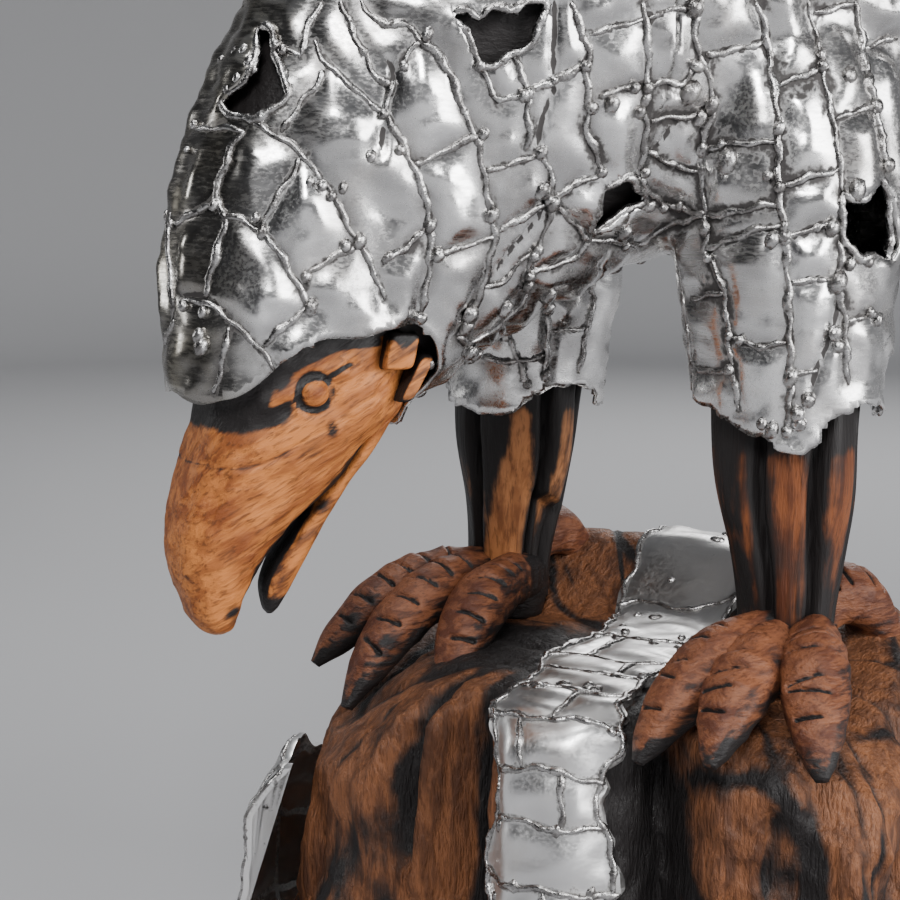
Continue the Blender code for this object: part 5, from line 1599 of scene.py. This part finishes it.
strip_spots, strip_shares = np.linspace(0, 1, STRIP_ROWS), np.linspace(-1, 1, STRIP_COLUMNS)
strip_hits = [[strip_point(spot, share) for share in strip_shares] for spot in strip_spots]
strip_skin = np.array([[np.array(hit) for hit, _ in row] for row in strip_hits])
strip_facing = np.array([[np.array(facing) for _, facing in row] for row in strip_hits])
strip_rng = np.random.default_rng(5)
strip_run = run_of(strip_skin[:, STRIP_COLUMNS // 2])
strip_cuts = np.append(STRIP_FIRST_SCRAPS, np.full(26, STRIP_SCRAP))
strip_cuts = np.cumsum(strip_cuts + strip_rng.uniform(-0.003, 0.003, len(strip_cuts)))
strip_cuts = np.interp(strip_cuts[strip_cuts < strip_run[-1] - 0.006], strip_run,
                       np.arange(float(STRIP_ROWS)))
strip_across = np.arange(float(STRIP_COLUMNS))
strip_seams = [np.stack([cut + 0.5 * np.sin(strip_across * 0.35 + cut), strip_across], 1)
               for cut in strip_cuts]
for index, (near, far) in enumerate(zip(strip_cuts, strip_cuts[1:])):
    for column in ((), (14,), (8,), (18,))[index % 4] if index > 1 else ():
        run = np.linspace(near, far, 12)
        strip_seams.append(np.stack([run, column + 0.5 * np.sin(run * 0.4 + column)], 1))
for edge in (0.6, STRIP_COLUMNS - 1.6):
    run = np.arange(1, STRIP_ROWS - 2.0)
    strip_seams.append(np.stack([run, edge + 0.4 * np.sin(run * 0.37 + edge)], 1))
strip_turned = 0.0007 * waves(strip_skin.reshape(-1, 3), 0.02, 71).reshape(strip_skin.shape[:2])
strip_edge = 0.0024 * waves(strip_skin.reshape(-1, 3), 0.014, 72).reshape(strip_skin.shape[:2])
side_way = np.gradient(strip_skin, axis=1)
side_way /= np.linalg.norm(side_way, axis=2, keepdims=True)
edge_share = np.clip((np.abs(strip_shares) - 0.8) / 0.2, 0, 1) * np.sign(strip_shares)
strip_low = np.clip((np.arange(STRIP_ROWS) - 95) / 50, 0, 1)[:, None] * np.clip(-strip_shares, 0, 1)[None]
strip_base = strip_skin + side_way * (strip_edge * edge_share - 0.015 * strip_low)[..., None]


def strip_spot(sheet, line):
    """Points of the sheet's grid read between its rows and columns."""
    row = np.clip(line[:, 0], 0, STRIP_ROWS - 1.001)
    column = np.clip(line[:, 1], 0, STRIP_COLUMNS - 1.001)
    r, k = row.astype(int), column.astype(int)
    a, b = (row - r)[:, None], (column - k)[:, None]
    return ((sheet[r, k] * (1 - a) + sheet[r + 1, k] * a) * (1 - b)
            + (sheet[r, k + 1] * (1 - a) + sheet[r + 1, k + 1] * a) * b)


strip_paths = [dense(strip_spot(strip_base, line), SEAM_STEP) for line in strip_seams]
strip_gap = nearest_gap(strip_base.reshape(-1, 3), np.vstack(strip_paths)).reshape(strip_base.shape[:2])
strip_lift = STRIP_THICKNESS - STRIP_SINK + strip_turned + 0.0017 * (1 - np.exp(-((strip_gap / 0.006) ** 2)))
strip_outer = strip_base + strip_facing * strip_lift[..., None]
strip_inner = strip_base - strip_facing * STRIP_SINK
strip = loft("strip_sheet", [np.concatenate([strip_inner, strip_outer[:, ::-1]], 1)], 50)
tag(strip, "seam_gap", np.append(np.concatenate([strip_gap, strip_gap[:, ::-1]], 1).ravel() / UNIT, [9, 9]))
strip_level = np.repeat(np.clip((strip_facing[..., 2] - 0.5) / 0.4, 0, 1), 2, 1)
tag(strip, "level_share", np.append(strip_level.ravel(), [0, 0]))


def plain_soot(tree, where):
    """Soot blots on a sheet with no seams of its own."""
    edge = ramp(tree, attribute_of(tree, "seam_gap"), 3.4, 1.6, 0.0, 0.55)
    return math_node(tree, "MAXIMUM", edge, ramp(tree, noise(tree, where, 60, 4, 0.6), 0.64, 0.76, 0.0, 0.8))


loose_metal = metal_finish(
    "strip_metal", lambda tree, where: ramp(tree, noise(tree, where, 22, 1), 0.3, 0.6, 0.5, 1.0), plain_soot,
    duller=0.12,
    # Darker where the strip lies level
    shade_and_oxide=lambda tree, where: math_node(tree, "MULTIPLY", attribute_of(tree, "level_share"), 0.6))
strip.data.materials.append(loose_metal)
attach(strip, "root")
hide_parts("stump_strip")


def sheet_tree(sheet):
    """A tree to find places on an open sheet: its grid's squares, each with the corners below and beside."""
    rows, columns = sheet.shape[:2]
    corner = (np.arange(rows - 1)[:, None] * columns + np.arange(columns - 1)).ravel()
    squares = np.stack([corner, corner + 1, corner + columns + 1, corner + columns], 1)
    return BVHTree.FromPolygons(sheet.reshape(-1, 3).tolist(), squares.tolist())


strip_tree = sheet_tree(strip_outer)
strip_lines = [dense(strip_spot(strip_outer, line), SEAM_STEP) for line in strip_seams]
strip_drops = [(strip_outer[r, k], strip_rng.uniform(0.002, 0.0035))
               for r, k in zip(strip_rng.integers(4, 146, STRIP_DROPS),
                               strip_rng.integers(1, 26, STRIP_DROPS))]
strip_beads = bead_set("strip_beads", strip_lines, strip_drops, strip_tree,
                       STRIP_BEAD_HALF_WIDTH, STRIP_BEAD_HEIGHT, strip_rng)
strip_beads.data.materials.append(bead_metal)
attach(strip_beads, "root")

# The side sheet.
# A curved scrap of the same sheet metal with a torn top edge. It stands off the stump on the bird's right in
# front, and is let into it behind.
SIDE_SHEET = [
    (-36, 0.026, 0.062), (-44, 0.026, 0.070), (-53, 0.024, 0.062), (-63, 0.018, 0.078),
    (-74, 0.012, 0.066), (-85, 0.007, 0.086), (-96, 0.002, 0.076), (-106, -0.0045, 0.092),
]
SIDE_SHEET_CURL = [(0, 0.5), (0.4, 0.8), (0.82, 1.0), (1, 0.4)]
SIDE_SHEET_THICKNESS, SIDE_SHEET_FOOT = 0.003, 0.006
SIDE_ROWS, SIDE_COLUMNS = 90, 50
side_rows = smooth_rows(SIDE_SHEET, SIDE_ROWS)
side_shares = np.linspace(0, 1, SIDE_COLUMNS)
side_curl = np.interp(side_shares, *np.array(SIDE_SHEET_CURL).T)
side_inner, side_outer = [], []
for bearing, clearance, top_down in side_rows:
    facing = Vector((math.sin(math.radians(bearing)), -math.cos(math.radians(bearing)), 0))
    low, high = SIDE_SHEET_FOOT, STUMP_HEIGHT - top_down + 0.0018 * math.sin(bearing * 1.1)
    hits = np.array([bare_tree.ray_cast(facing * 3 * STUMP_RADIUS
                                        + Vector((0, 0, low + (high - low) * share)), -facing)[0]
                     for share in side_shares])
    off = clearance * side_curl if clearance > 0 else np.full(SIDE_COLUMNS, clearance)
    out = np.array(facing)
    side_inner.append(hits + off[:, None] * out)
    side_outer.append(hits + (off[:, None] + SIDE_SHEET_THICKNESS) * out)
side_inner, side_outer = np.array(side_inner), np.array(side_outer)
side_dent = 0.0008 * waves(side_outer.reshape(-1, 3), 0.022, 81).reshape(side_outer.shape[:2])
side_way_out = (side_outer - side_inner) / SIDE_SHEET_THICKNESS
side_inner, side_outer = (part + side_way_out * side_dent[..., None] for part in (side_inner, side_outer))
side_sheet = loft("side_sheet", [np.concatenate([side_inner, side_outer[:, ::-1]], 1)], 50)
side_sheet.data.materials.append(loose_metal)
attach(side_sheet, "root")
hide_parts("stump_side_sheet")
side_columns, side_rows_at = (18, 34, 48), (1, 16, 30, 46, 60, 75)
side_tree = sheet_tree(side_outer)
side_lines = [dense(side_outer[row, 1:-1], SEAM_STEP) for row in side_rows_at]
side_lines += [dense(side_outer[:, column], SEAM_STEP) for column in side_columns]
side_gap = nearest_gap(side_outer.reshape(-1, 3), np.vstack(side_lines)).reshape(side_outer.shape[:2]) / UNIT
tag(side_sheet, "seam_gap", np.append(np.concatenate([side_gap, side_gap[:, ::-1]], 1).ravel(), [9, 9]))
side_beads = bead_set("side_sheet_beads", side_lines, [], side_tree,
                      STRIP_BEAD_HALF_WIDTH, STRIP_BEAD_HEIGHT, strip_rng)
side_beads.data.materials.append(bead_metal)
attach(side_beads, "root")
